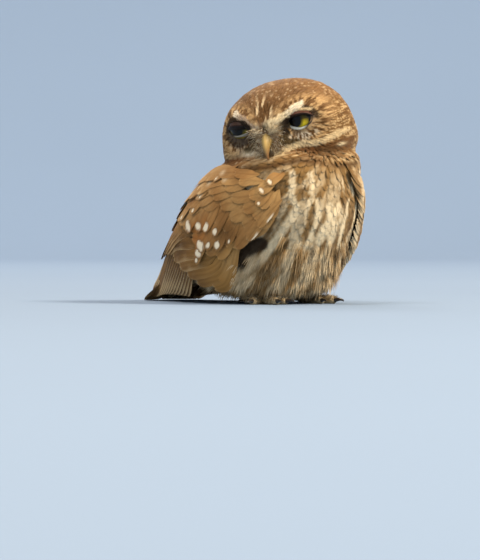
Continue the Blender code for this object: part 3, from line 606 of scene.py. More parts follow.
def strand_pattern(strands, seed):
    """Points and triangles of one loose tuft, as thin tapering strands that spread from one root."""
    pick = np.random.default_rng(seed)
    points, triangles = [], []
    for i in range(strands):
        start, spread = len(points), (i + 0.5) / strands * 2 - 1 + pick.uniform(-0.2, 0.2)
        end, wave = pick.uniform(0.66, 1), pick.uniform(-0.18, 0.18)
        for k in range(4):
            v = k / 4
            middle, half = spread * (0.4 + 0.6 * v) + wave * math.sin(v * 5), 0.13 * (1 - 0.55 * v)
            points += [(middle - half, v * end), (middle + half, v * end)]
            if k:
                a = start + 2 * k
                triangles += [(a - 2, a - 1, a + 1), (a - 2, a + 1, a)]
        points.append((spread + wave * math.sin(5), end))
        triangles.append((start + 6, start + 7, start + 8))
    return np.array(points), np.array(triangles)


def along_weights(at, stations=STATIONS):
    """How much each station of a feather counts at a share of its length, for a smooth bend."""
    eye = np.eye(stations)
    slope = np.gradient(eye, axis=0)
    run = np.clip(at, 0, 1) * (stations - 1)
    start = np.minimum(run.astype(int), stations - 2)
    t = (run - start)[:, None]
    h00, h10 = 2 * t**3 - 3 * t**2 + 1, t**3 - 2 * t**2 + t
    h01, h11 = -2 * t**3 + 3 * t**2, t**3 - t**2
    return h00 * eye[start] + h10 * slope[start] + h01 * eye[start + 1] + h11 * slope[start + 1]


def feather_points(pattern, centre, normal, width, camber, tilt):
    """Places one pattern on every feather's stations: centre and normal are (feather, station, 3)."""
    across, along = pattern[:, 0], pattern[:, 1]
    weights = along_weights(along)
    middle = np.einsum("vk,fkc->fvc", weights, centre)
    up = unit(np.einsum("vk,fkc->fvc", weights, normal))
    run = unit(np.einsum("vk,fkc->fvc", weights, np.gradient(centre, axis=1)))
    side = unit(np.cross(run, up))
    reach = across[None, :] * width[:, None]
    lift = tilt[:, None] * reach - camber[:, None] * reach**2
    return middle + side * reach[..., None] + up * lift[..., None]


def trace(roots, length):
    """Follows the coat's lie over the skin from each root; gives places, normals and coat depths."""
    here = roots
    places, normals, depths = [], [], []
    for _ in range(STATIONS):
        found = [skin_tree.find_nearest(p) for p in here.tolist()]
        face = np.array([hit[2] for hit in found])
        at = np.array([hit[0][:] for hit in found])
        corners = tri_corners[face]
        out = unit(skin_out[corners].mean(1))
        flow = unit(lie[corners].mean(1))
        places.append(at)
        normals.append(out)
        depths.append(coat_depth[corners].mean(1))
        here = at + flow * (length / (STATIONS - 1))[:, None]
    return np.stack(places, 1), np.stack(normals, 1), np.stack(depths, 1)


def skin_roots(count, spacing_at):
    """Even random places on the skin, as far apart as spacing_at says."""
    corners = skin_points[tri_corners]
    area = np.linalg.norm(np.cross(corners[:, 1] - corners[:, 0], corners[:, 2] - corners[:, 0]), axis=1)
    pick = draw.choice(len(area), size=count, p=area / area.sum())
    a, b = draw.random(count), draw.random(count)
    flip = a + b > 1
    a, b = np.where(flip, 1 - a, a), np.where(flip, 1 - b, b)
    weights = np.stack([1 - a - b, a, b], 1)
    points = np.einsum("nk,nkc->nc", weights, corners[pick])
    uv = np.einsum("nk,nkc->nc", weights, skin_uv[tri_loops[pick]])
    keep_from = spacing_at(points, pick)
    tree = KDTree(count)
    for i, point in enumerate(points.tolist()):
        tree.insert(point, i)
    tree.balance()
    free = np.ones(count, dtype=bool)
    free[keep_from <= 0] = False
    chosen = []
    for i in range(count):
        if free[i]:
            chosen.append(i)
            for _, j, _ in tree.find_range(points[i], keep_from[i]):
                free[j] = False
    chosen = np.array(chosen)
    return points[chosen], pick[chosen], uv[chosen]


cover_tree = solid_tree(["wing_right", "wing_left", "tail"])
hard_tree = solid_tree(["bill_upper", "bill_lower"])
tri_head = on_head[tri_corners].mean(1)
tri_face = face_share[tri_corners].mean(1)
tri_leg = on_leg[tri_corners].mean(1)
tri_out = unit(skin_out[tri_corners].mean(1))


def root_spacing(points, faces):
    """Distance between roots in millimetres, or 0 where no feather grows."""
    head, face, leg = tri_head[faces], tri_face[faces], tri_leg[faces]
    gap = BODY_GAP * (1 - head) + head * (CROWN_GAP * (1 - face) + FACE_GAP * face)
    gap = gap * (1 - leg) + LEG_GAP * leg
    for side in (RIGHT, LEFT):
        local = points - np.array(eye_frame(side).translation)
        axes = np.array(eye_frame(side).to_3x3())
        local = local @ axes
        under = 5.2 + 2.0 * rise(2, -3, local[:, 0] * side)
        over = 3.2 if side == LEFT else 2.4
        off = np.hypot(local[:, 0] / 7.9, (local[:, 2] + 0.4) / np.where(local[:, 2] > 0, over, under))
        gap = np.where((off < 1) & (local[:, 1] < 0), 0, gap)
    out = tri_out[faces]
    for i, (point, normal) in enumerate(zip(points.tolist(), out.tolist())):
        if gap[i] <= 0:
            continue
        start = Vector(point) + Vector(normal) * 0.5
        if cover_tree.ray_cast(start, Vector(normal), 14)[0] is not None and head[i] < 0.5:
            gap[i] = 0
        elif head[i] > 0.3 and hard_tree.find_nearest(point)[3] < 1.0:
            gap[i] = 0
    gap = np.where(points[:, 2] < 5.5, 0, gap)
    return gap


roots, root_faces, root_uv = skin_roots(ROOT_TRIES, root_spacing)
root_head, root_face, root_leg = tri_head[root_faces], tri_face[root_faces], tri_leg[root_faces]
root_q = in_head(roots)
eye_gap = np.minimum(
    np.linalg.norm(root_q - (18.5, -26, 3), axis=1), np.linalg.norm(root_q - (-18.5, -26, 3), axis=1)
)
bill_gap = np.linalg.norm(root_q - (0, -34, -6), axis=1)
length = CROWN_FEATHER * (1 - root_face) + FACE_FEATHER * root_face
length = BODY_FEATHER * (1 - root_head) + root_head * length
length = np.where(root_head > 0.5, np.minimum(length, 2.2 + 0.42 * np.maximum(eye_gap - 5, 0)), length)
length = np.where(root_head > 0.5, np.minimum(length, 2.6 + 0.35 * bill_gap), length)
length = length * (1 - root_leg) + LEG_FEATHER * root_leg
length = length * (1 - 0.12 * rise(66, 76, roots[:, 2]) * (root_head < 0.5))
length *= draw.uniform(0.88, 1.12, len(length))
half_width = length * (VANE_SHARE * (1 - root_face) + FACE_VANE_SHARE * root_face)
half_width = half_width * draw.uniform(0.9, 1.1, len(length))
luck = draw.random(len(length))

# Contour feathers are matt and finely ribbed by their barbs, in relief and in colour: the light that each
# barb catches is painted into the colour as ribs across the vane. The real barbs are 0.2 mm apart and are
# drawn at
# 0.3 mm to show. A wave whose scale is 1 repeats every 0.314 units, and the map's unit is a millimetre.
BARB_SCALE = 1.1
feather_material = new_material("soft contour feather")
marks_and_shade = add_node(feather_material, "ShaderNodeAttribute", attribute_name="MarkingsAndShade")
vane_map = add_node(feather_material, "ShaderNodeUVMap", uv_map="Vane")
ribs = add_node(
    feather_material,
    "ShaderNodeTexWave",
    {"Vector": vane_map.outputs["UV"], "Scale": BARB_SCALE, "Distortion": 1.2, "Detail": 2.0},
    wave_type="BANDS",
    bands_direction="Y",
)
shade = add_node(
    feather_material, "ShaderNodeMapRange", {"Value": ribs.outputs["Fac"], "To Min": 0.95, "To Max": 1.03}
)
ribbed = add_node(
    feather_material,
    "ShaderNodeVectorMath",
    {0: marks_and_shade.outputs["Color"], 1: shade.outputs["Result"]},
    operation="MULTIPLY",
)
relief = add_node(
    feather_material, "ShaderNodeBump", {"Height": ribs.outputs["Fac"], "Distance": 0.0001, "Strength": 0.2}
)
surface = add_node(
    feather_material,
    "ShaderNodeBsdfPrincipled",
    {
        "Base Color": ribbed.outputs["Vector"],
        "Roughness": 0.62,
        "Specular IOR Level": 0.08,
        "Sheen Weight": 0.03,
        "Sheen Roughness": 0.5,
        "Normal": relief.outputs["Normal"],
    },
)
add_node(feather_material, "ShaderNodeOutputMaterial", {"Surface": surface.outputs["BSDF"]})


def lay_feathers(name, centre, normals, width, size, shares, own_luck, home_uv, patterns, rib=1.0):
    """One piece of coat from feathers whose stations, widths, lengths and roots are given."""
    all_points, all_faces, tones, vane, bake = [], [], [], [], []
    start = 0
    for s, (pattern, triangles) in enumerate(patterns):
        own = np.arange(len(centre)) % 4 == s
        many = own.sum()
        if not many:
            continue
        spin = draw.uniform(-0.14, 0.14, many)
        points = feather_points(pattern, centre[own], normals[own], width[own], np.full(many, 0.02), spin)
        count = len(pattern)
        flat = points.reshape(-1, 3)
        flat[:, 2] = np.maximum(flat[:, 2], 0.3)
        u, v = np.tile(pattern[:, 0], many), np.tile(pattern[:, 1], many)
        tone = coat_tone(flat, np.repeat(shares[own], count), np.repeat(own_luck[own], count), u, v)
        tone = tone * (0.88 + 0.24 * np.repeat(draw.random(many), count))[:, None]
        # Each feather darkens towards its root: grey down there, with painted shade where the feathers over
        # it cover it.
        tone = tone * (0.86 + 0.14 * rise(0.0, 0.6, v))[:, None]
        tones.append(tone)
        real_u, real_v = u * np.repeat(width[own], count), v * np.repeat(size[own], count)
        vane.append(np.stack([real_u, rib * (real_v - BARB_SLANT * np.abs(real_u))], 1))
        spot = np.repeat(home_uv[own], count, axis=0)
        bake.append(spot + np.stack([u * 0.0014, (v - 0.5) * 0.0028], 1))
        offsets = start + np.arange(many)[:, None, None] * count
        all_faces.append((triangles[None] + offsets).reshape(-1, 3))
        all_points.append(flat)
        start += len(flat)
    maps = {"OFBake": np.concatenate(bake), "Vane": np.concatenate(vane)}
    mesh = new_mesh(name, np.concatenate(all_points), np.concatenate(all_faces), np.concatenate(tones), maps)
    return new_piece(name, mesh, feather_material)


def grow_coat(name, chosen, barbs, open_from):
    """Makes the feathers of one part of the coat, as one piece or more of under 200,000 triangles."""
    chosen = np.flatnonzero(chosen)
    patterns = [feather_pattern(barbs, open_from=open_from, seed=s, cuts=1) for s in range(4)]
    per_piece = PIECE_LIMIT // len(patterns[0][1])
    many = max(1, math.ceil(len(chosen) / per_piece))
    for part in range(many):
        mine = chosen[part::many]
        places, normals, depths = trace(roots[mine], length[mine])
        t = np.linspace(0, 1, STATIONS)
        tip = depths * 1.05 + 0.3 + 0.35 * (draw.random(len(mine)) - 0.5)[:, None] * rise(0.8, 2, depths)
        tip = np.minimum(tip, 0.4 + 0.22 * length[mine][:, None])
        lift = -0.3 * (1 - t) ** 2 + tip * (t**0.8 - 0.16 * t**5)
        centre = places + normals * lift[..., None]
        centre[..., 2] = np.maximum(centre[..., 2], 1.0)
        lay_feathers(
            f"{name}_{part + 1}", centre, normals, half_width[mine], length[mine], root_head[mine],
            luck[mine], root_uv[mine], patterns,
        )


is_face = (root_head > 0.5) & (root_face > 0.45)
is_crown = (root_head > 0.5) & ~is_face
is_leg = (root_head <= 0.5) & (root_leg > 0.5)
is_body = (root_head <= 0.5) & ~is_leg
grow_coat("face_feathers", is_face, 10, 0.7)
grow_coat("crown_feathers", is_crown, 14, 0.76)
grow_coat("body_feathers", is_body, 26, 0.62)
grow_coat("thigh_feathers", is_leg, 12, 0.6)

# Belly fluff: long loose feathers round the thighs and vent that hang over the feet, as on a bird that
# rests with its plumage puffed out. They start on the low belly and end just above the ground.
FLUFF_COUNT, FLUFF_LOW, FLUFF_HIGH, TUFTS_PER_ROOT = 4500, 7, 54, 7
low = (root_head < 0.1) & (roots[:, 2] < FLUFF_HIGH) & (roots[:, 2] > FLUFF_LOW)
low = np.flatnonzero(low & (tri_out[root_faces][:, 2] < 0.3))
low = np.concatenate([low] * TUFTS_PER_ROOT)
odds = 0.005 + rise(43, 23, roots[low, 2])
low = draw.choice(low, FLUFF_COUNT, replace=False, p=odds / odds.sum())
fluff_root, fluff_out = roots[low], tri_out[root_faces][low]
behind = rise(-12, 20, fluff_root[:, 1])
down = np.stack([0 * behind, 0.15 + 0.85 * behind, -1 + 0.45 * behind], 1)
fluff_way = lie[tri_corners[root_faces[low]]].mean(1) + down * rise(46, 22, fluff_root[:, 2:])
fluff_way = unit(fluff_way + draw.normal(0, 0.17, down.shape))
stop = 1.2 + 7 * draw.random(len(low)) ** 1.3
fall = (fluff_root[:, 2] - stop) / np.maximum(-fluff_way[:, 2], 0.2)
fluff_size = np.minimum(draw.uniform(7, 15, len(low)), fall)
keep = fluff_size > 4
low, fluff_size = low[keep], fluff_size[keep]
fluff_root, fluff_out, fluff_way = fluff_root[keep], fluff_out[keep], fluff_way[keep]
t = np.linspace(0, 1, STATIONS)[None, :, None]
stand = (1.6 + 1.4 * draw.random(len(low)))[:, None, None]
fluff_path = fluff_root[:, None] + fluff_out[:, None] * (stand * t**0.9)
fluff_path = fluff_path + fluff_way[:, None] * (fluff_size[:, None, None] * t)
fluff_path[..., 2] = np.maximum(fluff_path[..., 2], 1.0)
fluff_normal = unit(fluff_out * (1, 1, 0.1) + 1e-3)[:, None] * np.ones((1, STATIONS, 1))
lay_feathers(
    "belly_fluff", fluff_path, fluff_normal, 0.5 + fluff_size * 0.14, fluff_size, np.zeros(len(low)),
    luck[low], root_uv[low], [strand_pattern(6, seed=s) for s in range(4)], 0.1,
)

# The folded wings: stiff flight feathers laid one on another, with tiers of coverts over their roots,
# all following the side of the body. Brown, with white spots at some covert tips and pale bars.
SPINE_DROP, SQUARENESS_BELOW = 26.7, 2.5
PLUMAGE_STATIONS = np.array([
    (-45, 12, 8, 14), (-30, 28.5, 18, 32), (-10, 40.4, 30, 46), (10, 45.8, 36, 56), (30, 46.7, 34.5, 58),
    (50, 44, 29.5, 55), (70, 38, 22.5, 46), (90, 30.5, 14.5, 34), (110, 21.5, 7.5, 22), (126, 15, 3, 13),
], float)
WING_EDGES = np.array([
    (-26, -18, 3), (-20, -29, 12), (-10, -33, 23), (6, -30, 36), (18, -38, 45), (32, -45, 54),
    (46, -41, 62), (62, -35, 64), (80, -31, 58), (100, -24, 45), (121, -8, 22),
], float)


def smooth_at(table, at):
    """Values of a table at places between its rows, by a smooth curve through them."""
    known = table[:, 0]
    at = np.clip(at, known[0], known[-1])
    slopes = np.gradient(table[:, 1:], known, axis=0)
    i = np.clip(np.searchsorted(known, at) - 1, 0, len(known) - 2)
    gap = (known[i + 1] - known[i])[..., None]
    t = (at[..., None] - known[i][..., None]) / gap
    low, high = table[i, 1:], table[i + 1, 1:]
    return (
        (2 * t**3 - 3 * t**2 + 1) * low
        + (t**3 - 2 * t**2 + t) * gap * slopes[i]
        + (-2 * t**3 + 3 * t**2) * high
        + (t**3 - t**2) * gap * slopes[i + 1]
    )


def plumage_point(side, along, degrees, lift):
    """A place on the smooth outside of the wings: along the spine, round the body, and out from it."""
    half, above, below = np.moveaxis(smooth_at(PLUMAGE_STATIONS, along), -1, 0)
    angle = np.radians(degrees)
    square = np.where(angle > 0, 2.0, SQUARENESS_BELOW)
    out = np.maximum(np.cos(angle), 0) ** (2 / square)
    up = np.sign(np.sin(angle)) * np.abs(np.sin(angle)) ** (2 / square)
    high = (np.where(angle > 0, above, below) + lift) * up
    drop = math.radians(SPINE_DROP)
    x = side * (half + lift) * out
    y = -22 + along * math.cos(drop) + high * math.sin(drop)
    z = 62 - along * math.sin(drop) + high * math.cos(drop)
    return np.stack([x, y, z], -1)


def plumage_normal(side, along, degrees, lift):
    centre = plumage_point(side, along, degrees, lift)
    ahead = plumage_point(side, along + 0.5, degrees, lift)
    round_it = plumage_point(side, along, degrees + 0.5, lift)
    normal = unit(np.cross(ahead - centre, round_it - centre))
    return normal * np.sign(np.sum(normal * (centre - np.array((0, 10, 30))), axis=-1))[..., None]


def edge_degrees(along, share):
    edges = smooth_at(WING_EDGES, along)
    return edges[..., 0] * (1 - share) + edges[..., 1] * share


# Along, degrees, size across, size along, feather length, of each white spot that ends a covert.
SPOTTED = [
    (38.5, -0.5, 2.7, 2.0, 22), (29, -3, 2.7, 2.1, 22), (23, -5.5, 2.1, 2.1, 21),
    (17.5, -10.5, 1.4, 1.7, 20), (33.5, -11.5, 3.0, 2.4, 22), (38, -13.5, 2.3, 2.1, 22),
    (27, -14, 1.3, 1.9, 21), (20, -17.5, 1.8, 2.0, 18), (42.5, -16, 1.0, 1.3, 20),
    (11, -20, 0.6, 1.0, 16), (-24.5, -4, 1.4, 1.0, 11), (-19, -6.5, 1.7, 0.9, 12),
    (-15, -13, 0.8, 0.8, 11), (30, 8, 0.9, 1.2, 20), (28, 23, 0.5, 0.9, 20), (22, 15, 0.5, 0.8, 20),
    (8, 22, 0.5, 0.9, 18), (44, 14, 0.7, 1.3, 20), (53, 30, 0.8, 1.3, 20),
]
WING_BROWN, WING_LIGHT, WING_DARK = linear("9A6E3E"), linear("B9905A"), linear("503518")
WING_RED, PANEL_BROWN, SPOT_WHITE = linear("A8672B"), linear("B08044"), linear("FCEBCB")
FLIGHT_BROWN, FLIGHT_EDGE = linear("8C6431"), linear("DDBB88")


def wing_tone(side, along, degrees, luck, u, v, kind):
    """Colour of the wing's feathers by place on the folded wing and by place on the vane."""
    n = len(along)
    near = np.stack([along / 9, degrees / 12, np.full(n, side * 3.0)], 1)
    patch, speck = drift(near, 21), drift(near * 3.1, 22)
    tone = tinted(np.broadcast_to(WING_BROWN, (n, 3)), WING_LIGHT, 0.35 + 0.6 * patch + 0.25 * speck)
    fine = drift(np.stack([along / 1.8, degrees / 1.1, np.full(n, side * 3.0)], 1), 24)
    tone = tone * (1 + 0.14 * fine[:, None])
    if kind == "covert" and luck > 0.4:
        tone = tinted(tone, MANTLE_BUFF, rise(8, 16, degrees) * bell(u, 0.28) * bell(v - 0.86, 0.06) * 0.9)
    tone = tinted(tone, WING_DARK, 0.6 * bell(np.hypot((along - 11) / 7, (degrees + 16) / 6), 0.8))
    band = bell(np.hypot((along - 40) / 16, (degrees + 6) / 4), 0.8)
    tone = tinted(tone, WING_RED, 0.8 * band)
    flight = kind in ("primary", "secondary")
    if flight:
        tone = tinted(tone, FLIGHT_BROWN, 0.85)
    panel = rise(-20, -25, degrees) * rise(8, 14, along) * rise(66, 54, along)
    tone = tinted(tone, PANEL_BROWN, panel * 0.85)
    gleam = panel * bell(degrees + 29 + 0.25 * (along - 14), 3.5) * rise(34, 22, along)
    tone = tinted(tone, WING_LIGHT, gleam * 0.6)
    shade = bell(np.hypot((along - 56) / 11, (degrees + 4) / 3.6), 0.8) + panel * rise(38, 54, along) * 0.5
    tone = tinted(tone, WING_DARK, shade * 0.8)
    if flight:
        bars = rise(0.35, 0.75, np.sin(along / 10.5 * 2 * math.pi + luck * 1.2))
        tone = tinted(tone, FLIGHT_EDGE, bars * rise(0.0, 0.5, -u) * 0.2 * (1 - panel))
        edge, web = (1.0, np.abs(u)) if kind == "primary" else (0.35, -u)
        tone = tinted(tone, FLIGHT_EDGE, rise(0.58, 0.74, web) * edge * (1 - 0.8 * panel) * rise(1.0, 0.9, v))
        tone = tinted(tone, WING_DARK, rise(0.2, 0.35, web) * rise(0.7, 0.6, web) * 0.7 * edge)
    # Painted light: on the left wing the front coverts, which lie in shade, are lightened with buff.
    front_light = rise(-8, -20, degrees) * rise(84, 60, along) * (side == LEFT)
    tone = tinted(tone, MANTLE_BUFF, front_light * rise(-0.4, 0.2, speck) * 0.9)
    tone = tinted(tone, WING_DARK, bell(u, 0.06) * 0.25)
    if kind == "scapular":
        tone = tinted(tone, WING_LIGHT, 0.45)
        tone = tinted(tone, FLIGHT_EDGE, rise(0.72, 0.95, v) * rise(-0.2, 0.4, speck) * 0.8)
    edge = rise(0.95, 1.0, v) * 0.5
    return tinted(tone, FLIGHT_EDGE, edge * (1.0 if flight else 0.4))


def wing_rows(side):
    """Every feather of one wing: kind, root and tip, edges, half width, lifts, barbs and white spot."""
    rows = []

    def tier(kind, count, root_shares, tip_shares, roots_at, tips_at, half, lifts, barbs, spread=0.65):
        for i in range(count):
            step = i / max(count - 1, 1)
            root = roots_at[0] + (roots_at[1] - roots_at[0]) * step**spread
            tip = tips_at[0] + (tips_at[1] - tips_at[0]) * step**spread + draw.uniform(-0.5, 0.5)
            shares = (
                root_shares[0] + (root_shares[1] - root_shares[0]) * step,
                tip_shares[0] + (tip_shares[1] - tip_shares[0]) * step,
            )
            rows.append((kind, root, tip, shares, None, half, lifts[0], lifts[1] + 0.25 * step, barbs, None))

    for i in range(12):
        ends = (-12 + 1.5 * i, -33.5 + 2.1 * i)
        rows.append(("primary", 46 + 1.4 * i, 80 + 4.0 * i, None, ends, 4.4, -2.6, -1.7 + 0.1 * i, 34, None))
    tier("secondary", 12, (0.10, 0.62), (0.04, 0.76), (2, 48), (44, 94), 5.2, (-2.6, -1.0), 44)
    tier("covert", 9, (0.10, 0.72), (0.13, 0.80), (-10, 36), (13, 62), 6.0, (-2.0, -1.0), 24)
    tier("covert", 9, (0.10, 0.84), (0.10, 0.86), (-16, 18), (6, 46), 6.2, (-1.9, -0.8), 22)
    tier("covert", 9, (0.12, 0.86), (0.08, 0.88), (-20, 6), (-3, 34), 6.0, (-1.7, -0.6), 20)
    tier("covert", 8, (0.15, 0.85), (0.08, 0.86), (-22, -4), (-9, 20), 5.4, (-1.6, -0.4), 18)
    tier("covert", 7, (0.15, 0.85), (0.10, 0.86), (-24, -13), (-15, 6), 4.6, (-1.5, -0.3), 14)
    tier("covert", 5, (0.2, 0.8), (0.12, 0.85), (-26, -20), (-20, -6), 3.8, (-1.4, -0.2), 12)
    tier("scapular", 6, (0.84, 0.90), (0.72, 0.84), (-2, 46), (26, 76), 7.4, (-2.0, 0.3), 28, 1.0)
    tier("scapular", 6, (0.92, 0.99), (0.86, 0.98), (-6, 44), (18, 72), 7.0, (-1.8, 0.5), 26, 1.0)
    for i in range(5):
        ends = (46 + 5 * i, 58 + 6.5 * i)
        rows.append(("secondary", 22 + 4 * i, 99 - 3 * i, None, ends, 6.0, -1.6, -0.2 + 0.25 * i, 44, None))
    rows.append(("covert", -27, -6, None, (-3, -8), 4.6, -1.8, -0.8, 22, None))
    for along, degrees, wide, right_shade, size in SPOTTED:
        slant = 6.5 if along > 0 else 2.0
        ends = (degrees + slant, degrees - 1.2)
        reach = right_shade * 1.35 + 0.7
        root, half, spot = along - size + 3, 2.6 + wide * 1.1, (wide, right_shade, reach)
        rows.append(("covert", root, along + reach, None, ends, half, -1.3, 0.1, 26, spot))
    if side == RIGHT:
        rows.append(("edge", -26, -9, None, (-23, -28), 3.0, -0.6, 1.0, 26, 0.6))
        rows.append(("edge", -21, 0, None, (-24.5, -28.5), 3.6, -0.8, 1.2, 28, 0.84))
        rows.append(("edge", -14, 9, None, (-24.5, -26.5), 4.4, -0.9, 0.9, 28, 2.0))
    return rows


def one_feather(pattern, centre, normal, half, camber, tilt=0.0):
    """Places one feather on stations of its own."""
    sizes = (np.array([value]) for value in (half, camber, tilt))
    return feather_points(pattern, centre[None], normal[None], *sizes)[0]


def feather_maps(serial, cells, across, along, half, size):
    """A feather's own cell of the OFBake map, and its Vane map in millimetres, slanted as the barbs are."""
    cell = np.array([serial % cells, serial // cells])
    bake = (cell + 0.5 + np.stack([across * 0.38, (along - 0.5) * 0.84], 1)) / cells
    reach = across * half
    return bake, np.stack([reach, along * size - BARB_SLANT * np.abs(reach)], 1)


def wing_feathers(side):
    parts, rows = [], wing_rows(side)
    cells = math.ceil(math.sqrt(len(rows)))
    for serial, (kind, root, tip, shares, ends, half, low, high, barbs, spot) in enumerate(rows):
        t = np.linspace(0, 1, STATIONS)
        along = root + (tip - root) * t
        if ends:
            degrees = ends[0] + (ends[1] - ends[0]) * t
        else:
            degrees = edge_degrees(along, shares[0] + (shares[1] - shares[0]) * t)
        lift = low + (high - low) * t**0.9
        centre = plumage_point(np.full(STATIONS, side), along, degrees, lift)
        normal = plumage_normal(np.full(STATIONS, side), along, degrees, lift)
        flight = kind in ("primary", "secondary")
        opening, rounding = (0.95, 9.0) if flight else (0.9, 5.0)
        pattern, triangles = feather_pattern(barbs, opening, 0.03, rounding, serial, cuts=4)
        size = np.linalg.norm(np.diff(centre, axis=0), axis=1).sum()
        upward = np.sign(np.cross(unit(centre[1] - centre[0]), normal[0])[2])
        points = one_feather(pattern, centre, normal, half, 0.011, -0.06 * upward)
        u, v = pattern[:, 0] * upward, np.clip(pattern[:, 1], 0, 1)
        here_along = root + (tip - root) * v
        here_degrees = np.interp(v, t, degrees) + u * half / 0.78
        own_luck = draw.random()
        tone = wing_tone(side, here_along, here_degrees, own_luck, u, v, kind)
        if kind == "edge":
            tone = tinted(tone, FLIGHT_EDGE, rise(0.78, 0.9, -u) * 0.8)
            tone = tinted(tone, SPOT_WHITE, rise(0.45, 0.65, -u) * rise(0.3, 0.6, bell(v - spot, 0.1)))
        # Each feather darkens towards its root: grey down there, with painted shade where the feathers over
        # it cover it.
        tone = tone * (0.95 + 0.1 * own_luck) * (0.86 + 0.14 * rise(0, 0.4, v))[:, None]
        points[:, 2] = np.maximum(points[:, 2], 0.4)
        if isinstance(spot, tuple):
            gap = np.hypot(u * half / (spot[0] * 1.15), (v * size - (size - spot[2])) / (spot[1] * 1.1))
            gap += 0.3 * drift(points / 1.3, 33)
            tone = tinted(tone, WING_DARK, rise(1.7, 1.2, gap) * 0.35)
            tone = tinted(tone, SPOT_WHITE, rise(1.2, 0.75, gap) * 0.95)
        parts.append((points, triangles, tone, *feather_maps(serial, cells, pattern[:, 0], v, half, size)))
    return parts


def joined_feathers(name, parts):
    start, points, faces, tones, bake, vane = 0, [], [], [], [], []
    for part_points, triangles, tone, part_bake, part_vane in parts:
        points.append(part_points)
        faces.append(triangles + start)
        tones.append(tone)
        bake.append(part_bake)
        vane.append(part_vane)
        start += len(part_points)
    maps = {"OFBake": np.concatenate(bake), "Vane": np.concatenate(vane)}
    mesh = new_mesh(name, np.concatenate(points), np.concatenate(faces), np.concatenate(tones), maps)
    return new_piece(name, mesh, feather_material)


def wing_bed(side, lift_out=-3.4, lift_in=-4.6):
    """The wing's own flesh and folded bones under its feathers: a closed thin shell by the body."""
    alongs = np.linspace(-22, 104, 60)
    shares = np.linspace(0.07, 0.93, 24)
    grid_along, grid_share = np.meshgrid(alongs, shares, indexing="ij")
    degrees = edge_degrees(grid_along, grid_share)
    outer = plumage_point(side, grid_along, degrees, lift_out).reshape(-1, 3)
    inner = plumage_point(side, grid_along, degrees, lift_in).reshape(-1, 3)
    rows, columns = grid_along.shape
    faces = []
    count = rows * columns
    for i in range(rows - 1):
        for j in range(columns - 1):
            a = i * columns + j
            quad = (a, a + columns, a + columns + 1, a + 1)
            faces.append(quad)
            faces.append(tuple(count + k for k in quad[::-1]))
    rim = [i * columns for i in range(rows)] + [(rows - 1) * columns + j for j in range(1, columns)]
    rim += [i * columns + columns - 1 for i in range(rows - 2, -1, -1)] + list(range(columns - 2, 0, -1))
    for i, a in enumerate(rim):
        b = rim[(i + 1) % len(rim)]
        faces.append((a, count + a, count + b, b))
    form = bmesh.new()
    made = [form.verts.new(p) for p in ((np.concatenate([outer, inner]) + SHIFT) / 1000).tolist()]
    for face in faces:
        form.faces.new([made[k] for k in face])
    bmesh.ops.recalc_face_normals(form, faces=form.faces)
    mesh = bpy.data.meshes.new("wing bed")
    form.to_mesh(mesh)
    form.free()
    return mesh


def grained_material(name, scale, roughness, *stops):
    """A plain finish whose colour drifts between the stops by a grain that is scale to the metre."""
    material = new_material(name)
    place = add_node(material, "ShaderNodeTexCoord")
    grain = add_node(material, "ShaderNodeTexNoise", {"Vector": place.outputs["Object"], "Scale": scale})
    ramp = colour_ramp(material, grain.outputs["Fac"], *stops)
    surface = add_node(material, "ShaderNodeBsdfPrincipled", {"Base Color": ramp, "Roughness": roughness})
    add_node(material, "ShaderNodeOutputMaterial", {"Surface": surface.outputs["BSDF"]})
    return material


# Down over the wing's flesh hardly shows; it keeps light from passing between the feathers, and is matt.
bed_material = grained_material("dark down", 700.0, 0.9, (0.0, "6E5A3F"), (1.0, "8F7854"))

for side, name in SIDES:
    new_piece(f"wing_bed_{name}", wing_bed(side), bed_material)
    feathers = joined_feathers(f"wing_feathers_{name}", wing_feathers(side))
    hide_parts(f"wing_{name}")

# Side feathers: soft breast plumage that a resting owl fluffs out over the front edge of its wing. They
# grow from the skin of the body's left side and lie back over the wing's first coverts.
SIDE_COUNT, SIDE_HALF, SIDE_LENGTH, SIDE_TURN = 640, 3.3, 15.0, 18
starts = draw.uniform(-44, 58, SIDE_COUNT)
turned = edge_degrees(np.maximum(starts, -24), np.zeros(SIDE_COUNT)) - draw.uniform(1, 20, SIDE_COUNT)
t = np.linspace(0, 1, STATIONS)
along = starts[:, None] + 12 * t
degrees = turned[:, None] + SIDE_TURN * t
lift = -3.8 + 4.3 * t**0.8 + draw.uniform(-0.3, 0.3, SIDE_COUNT)[:, None]
centre = plumage_point(np.full(along.shape, LEFT), along, degrees, lift)
centre[..., 2] = np.maximum(centre[..., 2], 3.0)
nearest = KDTree(len(roots))
for i, point in enumerate(roots.tolist()):
    nearest.insert(point, i)
nearest.balance()
home = np.array([nearest.find(point)[1] for point in centre[:, 0].tolist()])
patterns = [feather_pattern(26, open_from=0.62, seed=s, cuts=1) for s in range(4)]
lay_feathers(
    "side_feathers", centre, plumage_normal(np.full(along.shape, LEFT), along, degrees, lift),
    np.full(SIDE_COUNT, SIDE_HALF), np.full(SIDE_COUNT, SIDE_LENGTH), np.zeros(SIDE_COUNT),
    draw.random(SIDE_COUNT) * 0.6, root_uv[home], patterns,
)

# The tail: twelve stiff feathers in a flat fan, rooted in the rump and laid pair under pair with the
# middle pair on top, brown with pale broken bars. Its tip rests on the floor.
TAIL_ROOT, TAIL_LENGTH, TAIL_SLOPES, TAIL_FAN = (0, 41, 36), 70, (37, 25), (0.9, 1.7)
TAIL_HALF, TAIL_LAYER, TAIL_BAR_GAP = 6.0, 0.95, 12.5
TAIL_DARK, TAIL_BAR = linear("7E5B35"), linear("C09D69")


